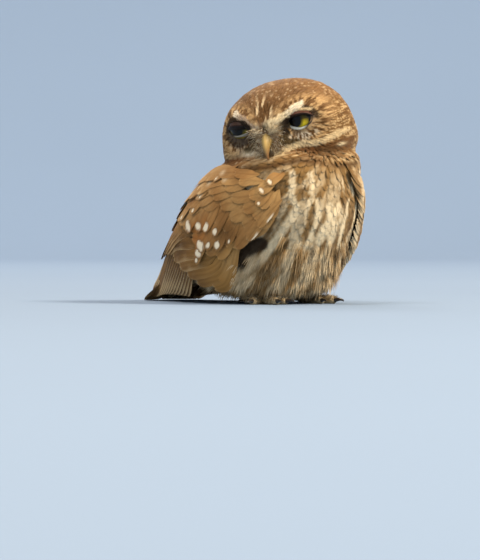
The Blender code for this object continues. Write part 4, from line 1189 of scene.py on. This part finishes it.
def tail_place(along, across, lift):
    angle = math.radians(1) * (TAIL_SLOPES[0] + (TAIL_SLOPES[1] - TAIL_SLOPES[0]) * along / TAIL_LENGTH / 2)
    y = TAIL_ROOT[1] + along * np.cos(angle) + lift * np.sin(angle)
    z = TAIL_ROOT[2] - along * np.sin(angle) + lift * np.cos(angle)
    return np.stack([across, y, z], -1)


def tail_feathers():
    parts, serial = [], 0
    for pair in range(6):
        for side in (RIGHT, LEFT):
            t = np.linspace(0, 1, STATIONS)
            run = (TAIL_LENGTH - 0.36 * pair**2) * t
            fan = math.radians(TAIL_FAN[0] + TAIL_FAN[1] * pair)
            along = run * math.cos(fan)
            across = side * ((2.0 + 1.3 * pair) + run * math.sin(fan))
            layer = -(2 * pair + (side == LEFT)) * TAIL_LAYER / 2 * (0.35 + 0.65 * t)
            centre = tail_place(along, across, layer)
            normal = unit(np.cross(np.gradient(centre, axis=0), np.array((-1.0, 0, 0))))
            normal = normal * np.sign(normal[:, 2:3])
            pattern, triangles = feather_pattern(44, 0.95, 0.02, 8, serial, cuts=4)
            points = one_feather(pattern, centre, normal, TAIL_HALF, 0.012)
            points[:, 2] = np.maximum(points[:, 2], 0.25)
            u, v = pattern[:, 0], np.clip(pattern[:, 1], 0, 1)
            bars = rise(0.55, 0.85, np.sin(v * TAIL_LENGTH / TAIL_BAR_GAP * 2 * math.pi + 0.6))
            bars = bars * rise(0.12, 0.3, np.abs(u))
            mottle = drift(points / 4, 31)
            tone = tinted(np.broadcast_to(TAIL_DARK, points.shape), WING_BROWN, 0.4 + 0.4 * mottle)
            tone = tinted(tone, TAIL_BAR, bars * 0.75)
            tone = tinted(tone, FLIGHT_EDGE, rise(0.965, 1.0, v) * 0.8)
            tone = tinted(tone, WING_DARK, bell(u, 0.07) * 0.5)
            parts.append((points, triangles, tone, *feather_maps(serial, 4, u, v, TAIL_HALF, TAIL_LENGTH)))
            serial += 1
    return parts


tail_piece = joined_feathers("tail_feathers", tail_feathers())
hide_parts("tail")

# Tail coverts: softer feathers in rings over the rump and vent that close the tail's root, brown with
# buff spots above and cream below.
COVERT_FORM = np.array([
    (-8, 15, 19, 9), (-2, 15, 17, 9), (14, 15, 12, 9),
    (26, 14, 7.5, 8), (38, 12.5, 3.5, 6.5), (50, 10, 1.0, 4.5),
], float)
COVERT_CELLS = 13


def covert_place(along, degrees, lift):
    half, above, below = np.moveaxis(smooth_at(COVERT_FORM, along), -1, 0)
    angle = np.radians(degrees)
    high = np.where(angle > 0, above, below)
    return tail_place(along, (half + lift) * np.cos(angle), (high + lift) * np.sin(angle))


def tail_coverts():
    parts, serial = [], 0
    rings = [(start, turn) for start in (30, 24, 18, 11, 4, -3, -8) for turn in np.linspace(8, 172, 10)]
    rings += [(start, -turn) for start in (34, 28, 21, 14, 7, 0, -6) for turn in np.linspace(5, 175, 11)]
    for start, turn in rings:
        start += draw.uniform(-2.5, 2.5)
        t = np.linspace(0, 1, STATIONS)
        size = draw.uniform(15, 19) if turn > 0 else draw.uniform(17, 23)
        along = start + size * t
        degrees = turn + draw.uniform(-7, 7) + draw.uniform(-6, 6) * t
        lift = -1.2 + 1.9 * t
        centre = covert_place(along, degrees, lift)
        centre[:, 2] = np.maximum(centre[:, 2], 1.2)
        normal = unit(centre - covert_place(along, degrees, lift - 2))
        half = 4.2 if turn > 0 else 3.8
        pattern, triangles = feather_pattern(13, open_from=0.75 if turn > 0 else 0.6, seed=serial % 7)
        points = one_feather(pattern, centre, normal, half, 0.02)
        u, v = pattern[:, 0], np.clip(pattern[:, 1], 0, 1)
        n, own_luck = len(pattern), draw.random()
        if turn > 0:
            tone = tinted(np.broadcast_to(MANTLE_BROWN, (n, 3)), MANTLE_LIGHT, 0.3 + 0.4 * own_luck)
            tone = tinted(tone, MANTLE_BUFF, (own_luck > 0.5) * bell(v - 0.8, 0.08) * bell(u, 0.4) * 0.8)
            tone = tinted(tone, BREAST_DARK, bell(u, 0.08) * 0.4)
        else:
            tone = tinted(np.broadcast_to(BREAST_CREAM, (n, 3)), BREAST_BROWN, bell(u, 0.16) * 0.6 + 0.15)
        # Each covert darkens towards its root: grey down there, with painted shade where the coverts over it
        # cover it.
        tone = tone * (0.85 + 0.25 * own_luck) * (0.65 + 0.35 * rise(0, 0.5, v))[:, None]
        parts.append((points, triangles, tone, *feather_maps(serial, COVERT_CELLS, u, v, half, size)))
        serial += 1
    return parts


joined_feathers("tail_coverts", tail_coverts())

# Eyes: large fixed balls with a yellow iris round a wide black pupil behind a clear wet cornea, set deep in
# the head. The brow's shade is part of their colour: dark at the top, and darker all over on the right.
GAZE_TURN = {LEFT: -17, RIGHT: -6}
EYE_LIGHT = {LEFT: 1.0, RIGHT: 0.4}


def ring_faces(rings, steps):
    """Triangles between rings of points, each ring closed on itself."""
    faces = []
    for i in range(rings):
        for j in range(steps):
            a, b = i * steps + j, i * steps + (j + 1) % steps
            faces += [(a, b, b + steps), (a, b + steps, a + steps)]
    return faces


def eye_mesh(side, rings=40, steps=64):
    """A ball with its rings round the line of sight, and a map of distance from it."""
    frame_of = eye_frame(side) @ Matrix.Rotation(math.radians(GAZE_TURN[side]), 4, "Z")
    points, maps = [], []
    for i in range(rings + 1):
        off = math.pi * i / rings
        for j in range(steps):
            round_it = 2 * math.pi * j / steps
            bulge = EYE_RADIUS + 0.25 * math.exp(-((off / 0.5) ** 2))
            across, high = math.cos(round_it), math.sin(round_it)
            point = Vector((math.sin(off) * across, -math.cos(off), math.sin(off) * high))
            points.append(tuple(frame_of @ (point * bulge)))
            maps.append((math.degrees(off) * across, math.degrees(off) * high))
    return np.array(points), np.array(ring_faces(rings, steps)), np.array(maps)


# The eye is wet and mirror-smooth, so it shows one sharp highlight; the iris has fine spokes.
eye_material = new_material("wet owl eye")
sight = add_node(eye_material, "ShaderNodeUVMap", uv_map="Sight")
split = add_node(eye_material, "ShaderNodeVectorMath", {0: sight.outputs["UV"]}, operation="LENGTH")
spokes = add_node(
    eye_material, "ShaderNodeTexNoise", {"Vector": sight.outputs["UV"], "Scale": 0.35, "Detail": 4.0}
)
spread = add_node(
    eye_material, "ShaderNodeMapRange", {"Value": spokes.outputs["Fac"], "To Min": -2.5, "To Max": 2.5}
)
off = add_node(
    eye_material, "ShaderNodeMath", {0: split.outputs["Value"], 1: spread.outputs["Result"]}, operation="ADD"
)
share = add_node(eye_material, "ShaderNodeMath", {0: off.outputs["Value"], 1: 60.0}, operation="DIVIDE")
ramp = colour_ramp(
    eye_material, share.outputs["Value"], (0.0, "030302"), (0.40, "030302"), (0.44, "6E5E10"),
    (0.62, "D8BE1E"), (0.86, "8A7A16"), (0.95, "1C150A"), (1.0, "120C07"),
)
high = add_node(eye_material, "ShaderNodeSeparateXYZ", {"Vector": sight.outputs["UV"]})
shadow = add_node(
    eye_material,
    "ShaderNodeMapRange",
    {"Value": high.outputs["Y"], "From Min": -14.0, "From Max": 4.0, "To Min": 0.95, "To Max": 0.06},
)
shaded = add_node(
    eye_material, "ShaderNodeVectorMath", {0: ramp, 1: shadow.outputs["Result"]}, operation="MULTIPLY"
)
marks_and_shade = add_node(eye_material, "ShaderNodeAttribute", attribute_name="MarkingsAndShade")
browed = add_node(
    eye_material,
    "ShaderNodeVectorMath",
    {0: shaded.outputs["Vector"], 1: marks_and_shade.outputs["Color"]},
    operation="MULTIPLY",
)
surface = add_node(
    eye_material,
    "ShaderNodeBsdfPrincipled",
    {
        "Base Color": browed.outputs["Vector"],
        "Roughness": 0.5,
        "Specular IOR Level": 0.1,
        "Coat Weight": 0.4,
        "Coat Roughness": 0.03,
        "Coat IOR": 1.36,
    },
)
add_node(eye_material, "ShaderNodeOutputMaterial", {"Surface": surface.outputs["BSDF"]})

for side, name in SIDES:
    points, faces, sight_map = eye_mesh(side)
    light = np.full((len(points), 3), EYE_LIGHT[side])
    maps = {"OFBake": sight_map / 400 + 0.5, "Sight": sight_map}
    mesh = new_mesh(f"eye {name}", points, faces, light, maps)
    ball = new_piece(f"eyeball_{name}", mesh, eye_material)
    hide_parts(f"eye_{name}")

# Lids: a firm rim of bare skin round each eye. The upper one is dark skin with painted shadow from the brow,
# low and nearly straight under the brow, which gives the owl its frown, and its outer part is painted with
# the brow's warm shadow; the lower one is a pale fleshy fold. The right lids are dimmed with painted shade,
# as the right eye is.
LID_HALF_WIDTH, LID_SLANT = 7.2, 5
LID_OPEN = {LEFT: (2.4, 4.0), RIGHT: (0.7, 2.7)}
LID_PALE, LID_PEACH, LID_RED = linear("E0DAC6"), linear("D9AE86"), linear("8E4A30")
LID_DARK_AND_SHADOW, LID_HOOD_SHADOW = linear("24160D"), linear("4A2616")


def lid_mesh(side, steps=96, rings=14):
    frame_of = eye_frame(side) @ Matrix.Rotation(math.radians(-side * LID_SLANT), 4, "Y")
    points, tones = [], []
    upper_open, lower_open = LID_OPEN[side]
    for i in range(rings + 1):
        share = i / rings
        for j in range(steps):
            angle = 2 * math.pi * j / steps
            across, high = math.cos(angle), math.sin(angle)
            inward = -across * side
            upper = max(high, 0)
            x = LID_HALF_WIDTH * across * (1 + (0.3 if inward > 0 else 0.16) * share)
            if high > 0:
                z = upper_open * (1 - abs(across) ** 3.2) * (1 - share) + share * 5.0 * high
            else:
                rim, fold = 1 - 0.5 * max(inward, 0), 1.55 + 0.4 * (inward > 0) * inward
                z = lower_open * high * (rim * (1 - share) + fold * share)
            radius = EYE_RADIUS + 0.12 + 0.62 * math.sin(math.pi * min(share * 1.3, 1))
            radius -= 2.4 * max(share - 0.7, 0)
            radius += upper * (0.35 + 1.5 * share) + 0.12 * math.sin(share * 22) * (high < 0)
            depth = math.sqrt(max(radius**2 - x * x - z * z, 4.0))
            points.append(tuple(frame_of @ Vector((x, -depth, z))))
            # The lid starts from dark skin with painted shadow from the brow.
            tone = LID_DARK_AND_SHADOW
            inner = rise(-0.55, -0.1, inward)
            pale = rise(-0.12, -0.4, high) * rise(0.03, 0.12, share) * (0.06 + 0.94 * inner)
            tone = tone * (1 - pale) + LID_PALE * pale
            peach = pale * rise(0.5, 0.72, share)
            tone = tone * (1 - peach) + LID_PEACH * peach
            red = rise(0.5, 0.95, inward) * rise(0.1, -0.3, high) * rise(0.3, 0.6, share)
            tone = tone * (1 - red) + LID_RED * red
            # The outer part of the upper lid is painted with the brow's warm shadow.
            hood_shadow = rise(0.2, 0.5, high) * rise(0.4, 0.7, share)
            tone = tone * (1 - hood_shadow) + LID_HOOD_SHADOW * hood_shadow
            # The right lid is dimmed with painted shade, as the right eye is.
            tones.append(tone * EYE_LIGHT[side])
    return np.array(points), np.array(ring_faces(rings, steps)), np.array(tones)


# Bare lid skin: a soft satin, finely wrinkled.
lid_material = new_material("bare lid skin")
marks_and_shade = add_node(lid_material, "ShaderNodeAttribute", attribute_name="MarkingsAndShade")
place = add_node(lid_material, "ShaderNodeTexCoord")
wrinkle = add_node(lid_material, "ShaderNodeTexNoise", {"Vector": place.outputs["Object"], "Scale": 1600.0})
relief = add_node(
    lid_material, "ShaderNodeBump", {"Height": wrinkle.outputs["Fac"], "Distance": 0.0002, "Strength": 0.6}
)
surface = add_node(
    lid_material,
    "ShaderNodeBsdfPrincipled",
    {
        "Base Color": marks_and_shade.outputs["Color"],
        "Roughness": 0.5,
        "Specular IOR Level": 0.2,
        "Normal": relief.outputs["Normal"],
    },
)
add_node(lid_material, "ShaderNodeOutputMaterial", {"Surface": surface.outputs["BSDF"]})

for side, name in SIDES:
    points, faces, tones = lid_mesh(side)
    new_piece(f"lid_{name}", new_mesh("lid", points, faces, tones), lid_material)

# The bill: a strong, narrow hook of horn that grows from the face over bone, yellow along its ridge, olive
# at its root round the two nostrils, and brown at its tip.
HOOK_RADIUS, HOOK_FORWARD, HOOK_UP, HOOK_START, HOOK_END = 11, 28.5, -9.5, 100, -30
BILL_HALF_WIDTH, BILL_HALF_HEIGHT, BILL_POINT = 4.6, 5.4, 0.45
BILL_YELLOW, BILL_OLIVE = linear("BE9A4E"), linear("5E4C28")
BILL_PALE, BILL_TIP = linear("DCC080"), linear("7E4A2A")


def bill_form(rings=44, steps=32):
    points, tones = [], []
    for i in range(rings + 1):
        share = i / rings
        angle = math.radians(HOOK_START + (HOOK_END - HOOK_START) * share)
        left = max(1 - share**1.5, 0)
        half_width = BILL_POINT + (BILL_HALF_WIDTH - BILL_POINT) * left
        half_height = BILL_POINT + (BILL_HALF_HEIGHT - BILL_POINT) * left
        middle = HOOK_RADIUS - half_height
        for j in range(steps):
            turn = 2 * math.pi * j / steps
            keel = 1 - 0.35 * max(math.cos(turn), 0)
            x = half_width * math.sin(turn) * keel
            r = middle + half_height * math.cos(turn)
            point = Vector((x, -(HOOK_FORWARD + r * math.cos(angle)), HOOK_UP + r * math.sin(angle)))
            points.append(tuple(HEAD @ point))
            olive = 0.75 * (1 - min(share * 3.5, 1)) + 0.35 * abs(math.sin(turn))
            tone = tinted(BILL_YELLOW[None], BILL_OLIVE, [olive])[0]
            tone = tinted(tone[None], BILL_PALE, [0.55 * max(math.cos(turn), 0) ** 3 * (1 - share)])[0]
            nostril = bell(math.hypot((share - 0.2) / 0.045, (abs(math.sin(turn)) - 0.8) / 0.1), 1)
            tone = tinted(tone[None], CRESCENT_OLIVE, [0.9 * nostril * (math.cos(turn) > 0)])[0]
            tones.append(tinted(tone[None], BILL_TIP, [0.8 * rise(0.55, 1.0, share)])[0])
    faces = ring_faces(rings, steps)
    for end, flip in ((0, False), (rings, True)):
        centre = len(points)
        ring = points[end * steps : (end + 1) * steps]
        points.append(tuple(np.mean(ring, axis=0)))
        tones.append(tones[end * steps])
        for j in range(steps):
            face = (centre, end * steps + (j + 1) % steps, end * steps + j)
            faces.append(face[::-1] if flip else face)
    return np.array(points), np.array(faces), np.array(tones)


def turned_out(mesh):
    """Makes a closed mesh's faces point outwards."""
    form = bmesh.new()
    form.from_mesh(mesh)
    bmesh.ops.remove_doubles(form, verts=form.verts, dist=1e-6)
    bmesh.ops.recalc_face_normals(form, faces=form.faces)
    form.to_mesh(mesh)
    form.free()
    return mesh


# Horn: polished by use, slightly translucent, with faint growth lines along the bill.
bill_material = new_material("bill horn")
marks_and_shade = add_node(bill_material, "ShaderNodeAttribute", attribute_name="MarkingsAndShade")
place = add_node(bill_material, "ShaderNodeTexCoord")
lines = add_node(
    bill_material, "ShaderNodeTexNoise", {"Vector": place.outputs["Object"], "Scale": 420.0, "Detail": 4.0}
)
shade = add_node(
    bill_material, "ShaderNodeMapRange", {"Value": lines.outputs["Fac"], "To Min": 0.8, "To Max": 1.15}
)
toned = add_node(
    bill_material,
    "ShaderNodeVectorMath",
    {0: marks_and_shade.outputs["Color"], 1: shade.outputs["Result"]},
    operation="MULTIPLY",
)
relief = add_node(
    bill_material, "ShaderNodeBump", {"Height": lines.outputs["Fac"], "Distance": 0.0001, "Strength": 0.4}
)
surface = add_node(
    bill_material,
    "ShaderNodeBsdfPrincipled",
    {"Base Color": toned.outputs["Vector"], "Roughness": 0.46, "Normal": relief.outputs["Normal"]},
)
add_node(bill_material, "ShaderNodeOutputMaterial", {"Surface": surface.outputs["BSDF"]})

points, faces, tones = bill_form()
bill = new_piece("bill_hook", turned_out(new_mesh("bill", points, faces, tones)), bill_material)
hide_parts("bill_upper")

# The lower bill: a short trough of plain horn, shut into the hook above it, which keeps its solid. It is
# worn smooth and a little browner than the hook, with faint cloudy growth marks.
lower_material = grained_material("lower bill horn", 420.0, 0.4, (0.0, "8A744A"), (1.0, "C7A566"))
lower_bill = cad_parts["bill_lower"]
lower_bill.data.materials.clear()
lower_bill.data.materials.append(lower_material)

# Feet: two toes ahead, one out to the side and one behind, of scaly skin over round pads, joined at a palm
# that takes the weight and rests on the ground.
FOOT_OUT, FOOT_ALONG = 17, -19
TOES = ((-14, 17.5), (12, 19.5), (62, 15), (168, 12))
TOE_THICK, TOE_THIN = 2.75, 2.05

# Toe skin is dry and cobbled with scales about a millimetre across, so it is matt with small pits.
toe_material = new_material("scaled toe skin")
place = add_node(toe_material, "ShaderNodeTexCoord")
scales = add_node(toe_material, "ShaderNodeTexVoronoi", {"Vector": place.outputs["Object"], "Scale": 900.0})
ramp = colour_ramp(toe_material, scales.outputs["Distance"], (0.0, "B7A27C"), (1.0, "7F6A49"))
relief = add_node(
    toe_material, "ShaderNodeBump", {"Height": scales.outputs["Distance"], "Distance": 0.0003}, invert=True
)
surface = add_node(
    toe_material,
    "ShaderNodeBsdfPrincipled",
    {"Base Color": ramp, "Roughness": 0.6, "Normal": relief.outputs["Normal"]},
)
add_node(toe_material, "ShaderNodeOutputMaterial", {"Surface": surface.outputs["BSDF"]})


def tube(path, radii, steps=16):
    """A closed round tube along a path, as points and triangles."""
    path, radii = np.array(path), np.array(radii)
    run = unit(np.gradient(path, axis=0))
    side = unit(np.cross(run, (0, 0, 1)))
    up = np.cross(side, run)
    turns = np.linspace(0, 2 * math.pi, steps, endpoint=False)
    ring = np.cos(turns)[None, :, None] * side[:, None] + np.sin(turns)[None, :, None] * up[:, None]
    points = (path[:, None] + ring * radii[:, None, None]).reshape(-1, 3)
    faces = ring_faces(len(path) - 1, steps)
    for end in (0, len(path) - 1):
        centre = len(points)
        points = np.concatenate([points, path[end][None]])
        faces += [(centre, end * steps + j, end * steps + (j + 1) % steps) for j in range(steps)]
    return points, faces


def gathered(forms):
    """Puts several forms into one list of points and one of faces."""
    points, faces = np.empty((0, 3)), []
    for more_points, more_faces in forms:
        faces += [tuple(k + len(points) for k in face) for face in more_faces]
        points = np.concatenate([points, more_points])
    return points, faces


def toe_ahead(side, heading):
    return np.array((side * math.sin(math.radians(heading)), -math.cos(math.radians(heading)), 0))


def foot_form(side):
    forms = []
    start = np.array((side * FOOT_OUT, FOOT_ALONG, 0))
    share = np.linspace(0, 1, 40)
    for heading, length_of in TOES:
        rounded = np.sqrt(np.clip(1 - (np.maximum(share - 0.86, 0) / 0.145) ** 2, 0.01, 1))
        radius = (TOE_THICK + (TOE_THIN - TOE_THICK) * share) * rounded
        knuckles = 1 + 0.07 * np.cos(share * length_of / 4.2 * 2 * math.pi)
        path = start + toe_ahead(side, heading) * (share * length_of)[:, None]
        path[:, 2] = TOE_THICK * 0.86 + (TOE_THIN - TOE_THICK) * share * 0.9
        forms.append(tube(path, radius * knuckles))
    palm = start + np.array((0, 1, 0)) * np.linspace(4.5, -4.5, 16)[:, None] + (0, 0, 2.9)
    forms.append(tube(palm, 4.4 * np.sqrt(np.clip(1 - np.linspace(-1, 1, 16) ** 2, 0.02, 1))))
    points, faces = gathered(forms)
    points[:, 2] = np.maximum(points[:, 2], 0.02)
    return points, faces


for side, name in SIDES:
    points, faces = foot_form(side)
    foot = new_piece(f"toes_{name}", turned_out(new_mesh("toes", points, faces)), toe_material)
    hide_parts(f"foot_{name}")

# Claws: thin black hooks of horn over the last bone of each toe, curved down until their points touch the
# ground. Horn that scrapes on bark all day is polished, so it has a clear highlight.
CLAW_LENGTH, CLAW_BEND, CLAW_ROOT, CLAW_POINT = 8.5, 68, 1.35, 0.16
claw_material = grained_material("black claw horn", 500.0, 0.3, (0.0, "1E1915"), (1.0, "3A312A"))


def claw_forms(side):
    forms = []
    share = np.linspace(0, 1, 24)
    for heading, length_of in TOES:
        ahead = toe_ahead(side, heading)
        start = np.array((side * FOOT_OUT, FOOT_ALONG, TOE_THIN)) + ahead * (length_of - 0.6)
        bend = np.radians(CLAW_BEND) * share
        path = start + ahead * (CLAW_LENGTH / math.radians(CLAW_BEND) * np.sin(bend) * 0.9)[:, None]
        path[:, 2] += 1.1 * np.sin(math.pi * share * 0.6) - (start[2] - 0.3) * share**1.5
        forms.append(tube(path, CLAW_ROOT + (CLAW_POINT - CLAW_ROOT) * share**0.8, 12))
    points, faces = gathered(forms)
    points[:, 2] = np.maximum(points[:, 2], 0.05)
    return points, faces


for side, name in SIDES:
    points, faces = claw_forms(side)
    mesh = turned_out(new_mesh("claws", points, faces))
    claws = new_piece(f"claws_{name}", mesh, claw_material)
    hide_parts(*(f"claw_{name}_{i}" for i in range(1, 5)))

# Bristles: stiff hairlike feathers without a vane, rooted one by one in the skin round the bill and along
# the toes' tops. Their bare shafts are satin, some pale and some dark.
bristle_material = grained_material(
    "stiff bristle", 500.0, 0.5, (0.35, "4A3826"), (0.5, "B9A27A"), (0.65, "EADFC6")
)


def bristle_tree():
    """Sets thin cones over a patch, each along the patch's own Way, in metres."""
    tree = bpy.data.node_groups.new("Bristles", "GeometryNodeTree")
    sockets = {}
    tree.interface.new_socket(name="Patch", in_out="INPUT", socket_type="NodeSocketGeometry")
    for name, kind in (("Density", "Float"), ("Length", "Float"), ("Thickness", "Float"), ("Seed", "Int")):
        socket = tree.interface.new_socket(name=name, in_out="INPUT", socket_type="NodeSocket" + kind)
        sockets[name] = socket.identifier
    tree.interface.new_socket(name="Bristles", in_out="OUTPUT", socket_type="NodeSocketGeometry")
    kinds = {
        "given": "NodeGroupInput", "spread": "GeometryNodeDistributePointsOnFaces",
        "hair": "GeometryNodeMeshCone", "way": "GeometryNodeInputNamedAttribute",
        "stray": "FunctionNodeRandomValue", "leaning": "ShaderNodeVectorMath",
        "turn": "FunctionNodeAlignRotationToVector", "size": "FunctionNodeRandomValue",
        "place": "GeometryNodeInstanceOnPoints", "real": "GeometryNodeRealizeInstances",
        "paint": "GeometryNodeSetMaterial", "made": "NodeGroupOutput",
    }
    at = {name: tree.nodes.new(kind) for name, kind in kinds.items()}
    at["hair"].fill_type = "NONE"
    at["hair"].inputs["Vertices"].default_value = 3
    at["hair"].inputs["Side Segments"].default_value = 2
    at["hair"].inputs["Radius Top"].default_value = 0.00002
    at["way"].data_type = "FLOAT_VECTOR"
    at["way"].inputs["Name"].default_value = "Way"
    at["stray"].data_type = "FLOAT_VECTOR"
    at["stray"].inputs[0].default_value = (-0.3, -0.3, -0.3)
    at["stray"].inputs[1].default_value = (0.3, 0.3, 0.3)
    at["turn"].axis = "Z"
    at["size"].data_type = "FLOAT"
    at["size"].inputs[2].default_value = 0.55
    at["size"].inputs[3].default_value = 1.15
    at["paint"].inputs["Material"].default_value = bristle_material
    joins = (
        ("given", "Patch", "spread", "Mesh"), ("given", "Density", "spread", "Density"),
        ("given", "Seed", "spread", "Seed"), ("given", "Length", "hair", "Depth"),
        ("given", "Thickness", "hair", "Radius Bottom"), ("spread", "Points", "place", "Points"),
        ("hair", "Mesh", "place", "Instance"), ("way", "Attribute", "leaning", 0), ("stray", 0, "leaning", 1),
        ("leaning", "Vector", "turn", "Vector"), ("turn", "Rotation", "place", "Rotation"),
        ("size", 1, "place", "Scale"), ("place", "Instances", "real", "Geometry"),
        ("real", "Geometry", "paint", "Geometry"), ("paint", "Geometry", "made", "Bristles"),
    )
    for source, out_name, target, in_name in joins:
        tree.links.new(at[source].outputs[out_name], at[target].inputs[in_name])
    return tree, sockets


def bristles(name, points, faces, ways, amounts):
    """One piece of bristles over a patch of surface; ways gives the direction at each of its points."""
    patch = new_mesh("patch", points, faces)
    layer = patch.attributes.new("Way", "FLOAT_VECTOR", "POINT")
    layer.data.foreach_set("vector", ways.ravel())
    holder = bpy.data.objects.new("patch", patch)
    bpy.context.scene.collection.objects.link(holder)
    tree, sockets = bristle_tree()
    grow = holder.modifiers.new("bristles", "NODES")
    grow.node_group = tree
    for key, value in amounts.items():
        grow[sockets[key]] = value
    mesh = bpy.data.meshes.new_from_object(holder.evaluated_get(bpy.context.evaluated_depsgraph_get()))
    holder.modifiers.remove(grow)
    bpy.data.objects.remove(holder)
    return new_piece(name, mesh, bristle_material)


middle_q = in_head(skin_points[tri_corners].mean(1))
by_bill = (np.abs(middle_q[:, 0]) < 7.5) & (middle_q[:, 2] > -13) & (middle_q[:, 2] < 3)
by_bill &= (middle_q[:, 1] < -29) & (tri_head > 0.5)
used, faces = np.unique(tri_corners[by_bill], return_inverse=True)
own_q = in_head(skin_points[used])
ways = np.stack([np.sign(own_q[:, 0]) * 0.45, -0.75 + 0 * own_q[:, 0], -0.4 - 0.03 * own_q[:, 2]], 1)
ways = ways @ HEAD_AXES.T
bristles(
    "bill_bristles", skin_points[used], faces.reshape(-1, 3), ways + lie[used] * 0.5,
    {"Density": 2.2e6, "Length": 0.0055, "Thickness": 0.00011, "Seed": 3},
)
for side, name in SIDES:
    points, faces = foot_form(side)
    faces = np.array([face for face in faces if points[list(face)][:, 2].mean() > 2.6])
    used, faces = np.unique(faces, return_inverse=True)
    ways = unit(points[used] - (side * FOOT_OUT, FOOT_ALONG, 0)) * (1, 1, 0) + (0, 0, 0.35)
    bristles(
        f"toe_bristles_{name}", points[used], faces.reshape(-1, 3), ways,
        {"Density": 1.6e6, "Length": 0.003, "Thickness": 0.00012, "Seed": 4},
    )

# The studio: a pale round floor of painted board that curves up into a wall far behind, lit by a soft
# daylight dome and three disc lamps. It is staged, so it isn't part of the owl.
FLOOR_RADIUS, WALL_RADIUS, WALL_HEIGHT, COVE_STEPS = 2.4, 3.6, 1.5, 96


def cove():
    form = bmesh.new()
    profile = [(1.2, 0.0), (FLOOR_RADIUS, 0.0)]
    curve = WALL_RADIUS - FLOOR_RADIUS
    for i in range(1, 13):
        angle = math.pi / 2 * i / 12
        profile.append((FLOOR_RADIUS + curve * math.sin(angle), curve * (1 - math.cos(angle))))
    profile.append((WALL_RADIUS, WALL_HEIGHT))
    turns = np.linspace(0, 2 * math.pi, COVE_STEPS + 1)[:-1]
    rings = []
    for radius, height in profile:
        rings.append([form.verts.new((radius * math.cos(a), radius * math.sin(a), height)) for a in turns])
    centre = form.verts.new((0, 0, 0))
    for j in range(COVE_STEPS):
        after = (j + 1) % COVE_STEPS
        form.faces.new((centre, rings[0][j], rings[0][after]))
        for low, high in zip(rings, rings[1:]):
            form.faces.new((low[j], high[j], high[after], low[after]))
    mesh = bpy.data.meshes.new("cove")
    form.to_mesh(mesh)
    form.free()
    mesh.polygons.foreach_set("use_smooth", np.ones(len(mesh.polygons), dtype=bool))
    return mesh


# Matt emulsion paint, barely clouded, laid a little darker under the owl than at the wall: painted shade
# where the lamps' light is strongest.
cove_material = new_material("pale painted studio cove")
place = add_node(cove_material, "ShaderNodeTexCoord")
paint = add_node(cove_material, "ShaderNodeTexNoise", {"Vector": place.outputs["Object"], "Scale": 2.0})
ramp = colour_ramp(cove_material, paint.outputs["Fac"], (0.0, "91A8C6"), (1.0, "95ACCA"))
apart = add_node(cove_material, "ShaderNodeVectorMath", {0: place.outputs["Object"]}, operation="LENGTH")
# Painted shade: darker near the middle, where the lamps' light is stronger.
shade_near_middle = add_node(
    cove_material,
    "ShaderNodeMapRange",
    {"Value": apart.outputs["Value"], "From Min": 0.3, "From Max": 3.6, "To Min": 0.7, "To Max": 1.0},
)
toned = add_node(
    cove_material, "ShaderNodeVectorMath", {0: ramp, 1: shade_near_middle.outputs["Result"]}, operation="MULTIPLY"
)
surface = add_node(
    cove_material, "ShaderNodeBsdfPrincipled", {"Base Color": toned.outputs["Vector"], "Roughness": 0.9}
)
add_node(cove_material, "ShaderNodeOutputMaterial", {"Surface": surface.outputs["BSDF"]})
floor = bpy.data.objects.new("studio_floor", cove())
floor.data.materials.append(cove_material)
bpy.context.scene.collection.objects.link(floor)

sky = bpy.data.worlds.new("soft daylight")
bpy.context.scene.world = sky
sky.use_nodes = True
sky.node_tree.nodes["Background"].inputs["Color"].default_value = (*linear("FFF0DC"), 1)
sky.node_tree.nodes["Background"].inputs["Strength"].default_value = 0.8

AIM = Vector((0, -0.019, 0.06))


def way_back(azimuth, elevation):
    """The way from the owl to something that looks at it."""
    a, e = math.radians(azimuth), math.radians(elevation)
    return Vector((math.sin(a) * math.cos(e), -math.cos(a) * math.cos(e), math.sin(e)))


def lamp(name, azimuth, elevation, distance, size, power, code):
    light = bpy.data.lights.new(name, "AREA")
    light.shape = "DISK"
    light.size = size
    light.energy = power
    light.color = linear(code)
    holder = bpy.data.objects.new(name, light)
    back = way_back(azimuth, elevation)
    holder.location = AIM + back * distance
    holder.rotation_euler = back.to_track_quat("Z", "Y").to_euler()
    bpy.context.scene.collection.objects.link(holder)


lamp("key_lamp", 26, 44, 3.2, 0.65, 150, "FFEFD6")
lamp("top_lamp", -95, 68, 3.0, 1.2, 42, "FFF4E6")
lamp("back_lamp", 160, 45, 3.0, 1.6, 30, "F6F4F0")
bpy.context.scene.view_settings.view_transform = "Standard"

# The camera: at the photograph's angle, just above the floor and looking very slightly down, with the owl a
# little right of the frame's middle, as it is there.
CAMERA_AZIMUTH, CAMERA_ELEVATION, CAMERA_DISTANCE = -38, 1, 1.6
CAMERA_LENS, CAMERA_SENSOR = 180.45, 36
OWL_OFF_MIDDLE, FRAME_AIM = 0.01425, Vector((0, -0.01915, 0.0131))
back = way_back(CAMERA_AZIMUTH, CAMERA_ELEVATION)
right = Vector((math.cos(math.radians(CAMERA_AZIMUTH)), math.sin(math.radians(CAMERA_AZIMUTH)), 0))
view_from = bpy.data.cameras.new("camera")
view_from.lens = CAMERA_LENS
view_from.sensor_width = CAMERA_SENSOR
camera = bpy.data.objects.new("camera", view_from)
camera.location = right * -OWL_OFF_MIDDLE + FRAME_AIM + back * CAMERA_DISTANCE
camera.rotation_euler = back.to_track_quat("Z", "Y").to_euler()
bpy.context.scene.collection.objects.link(camera)
bpy.context.scene.camera = camera
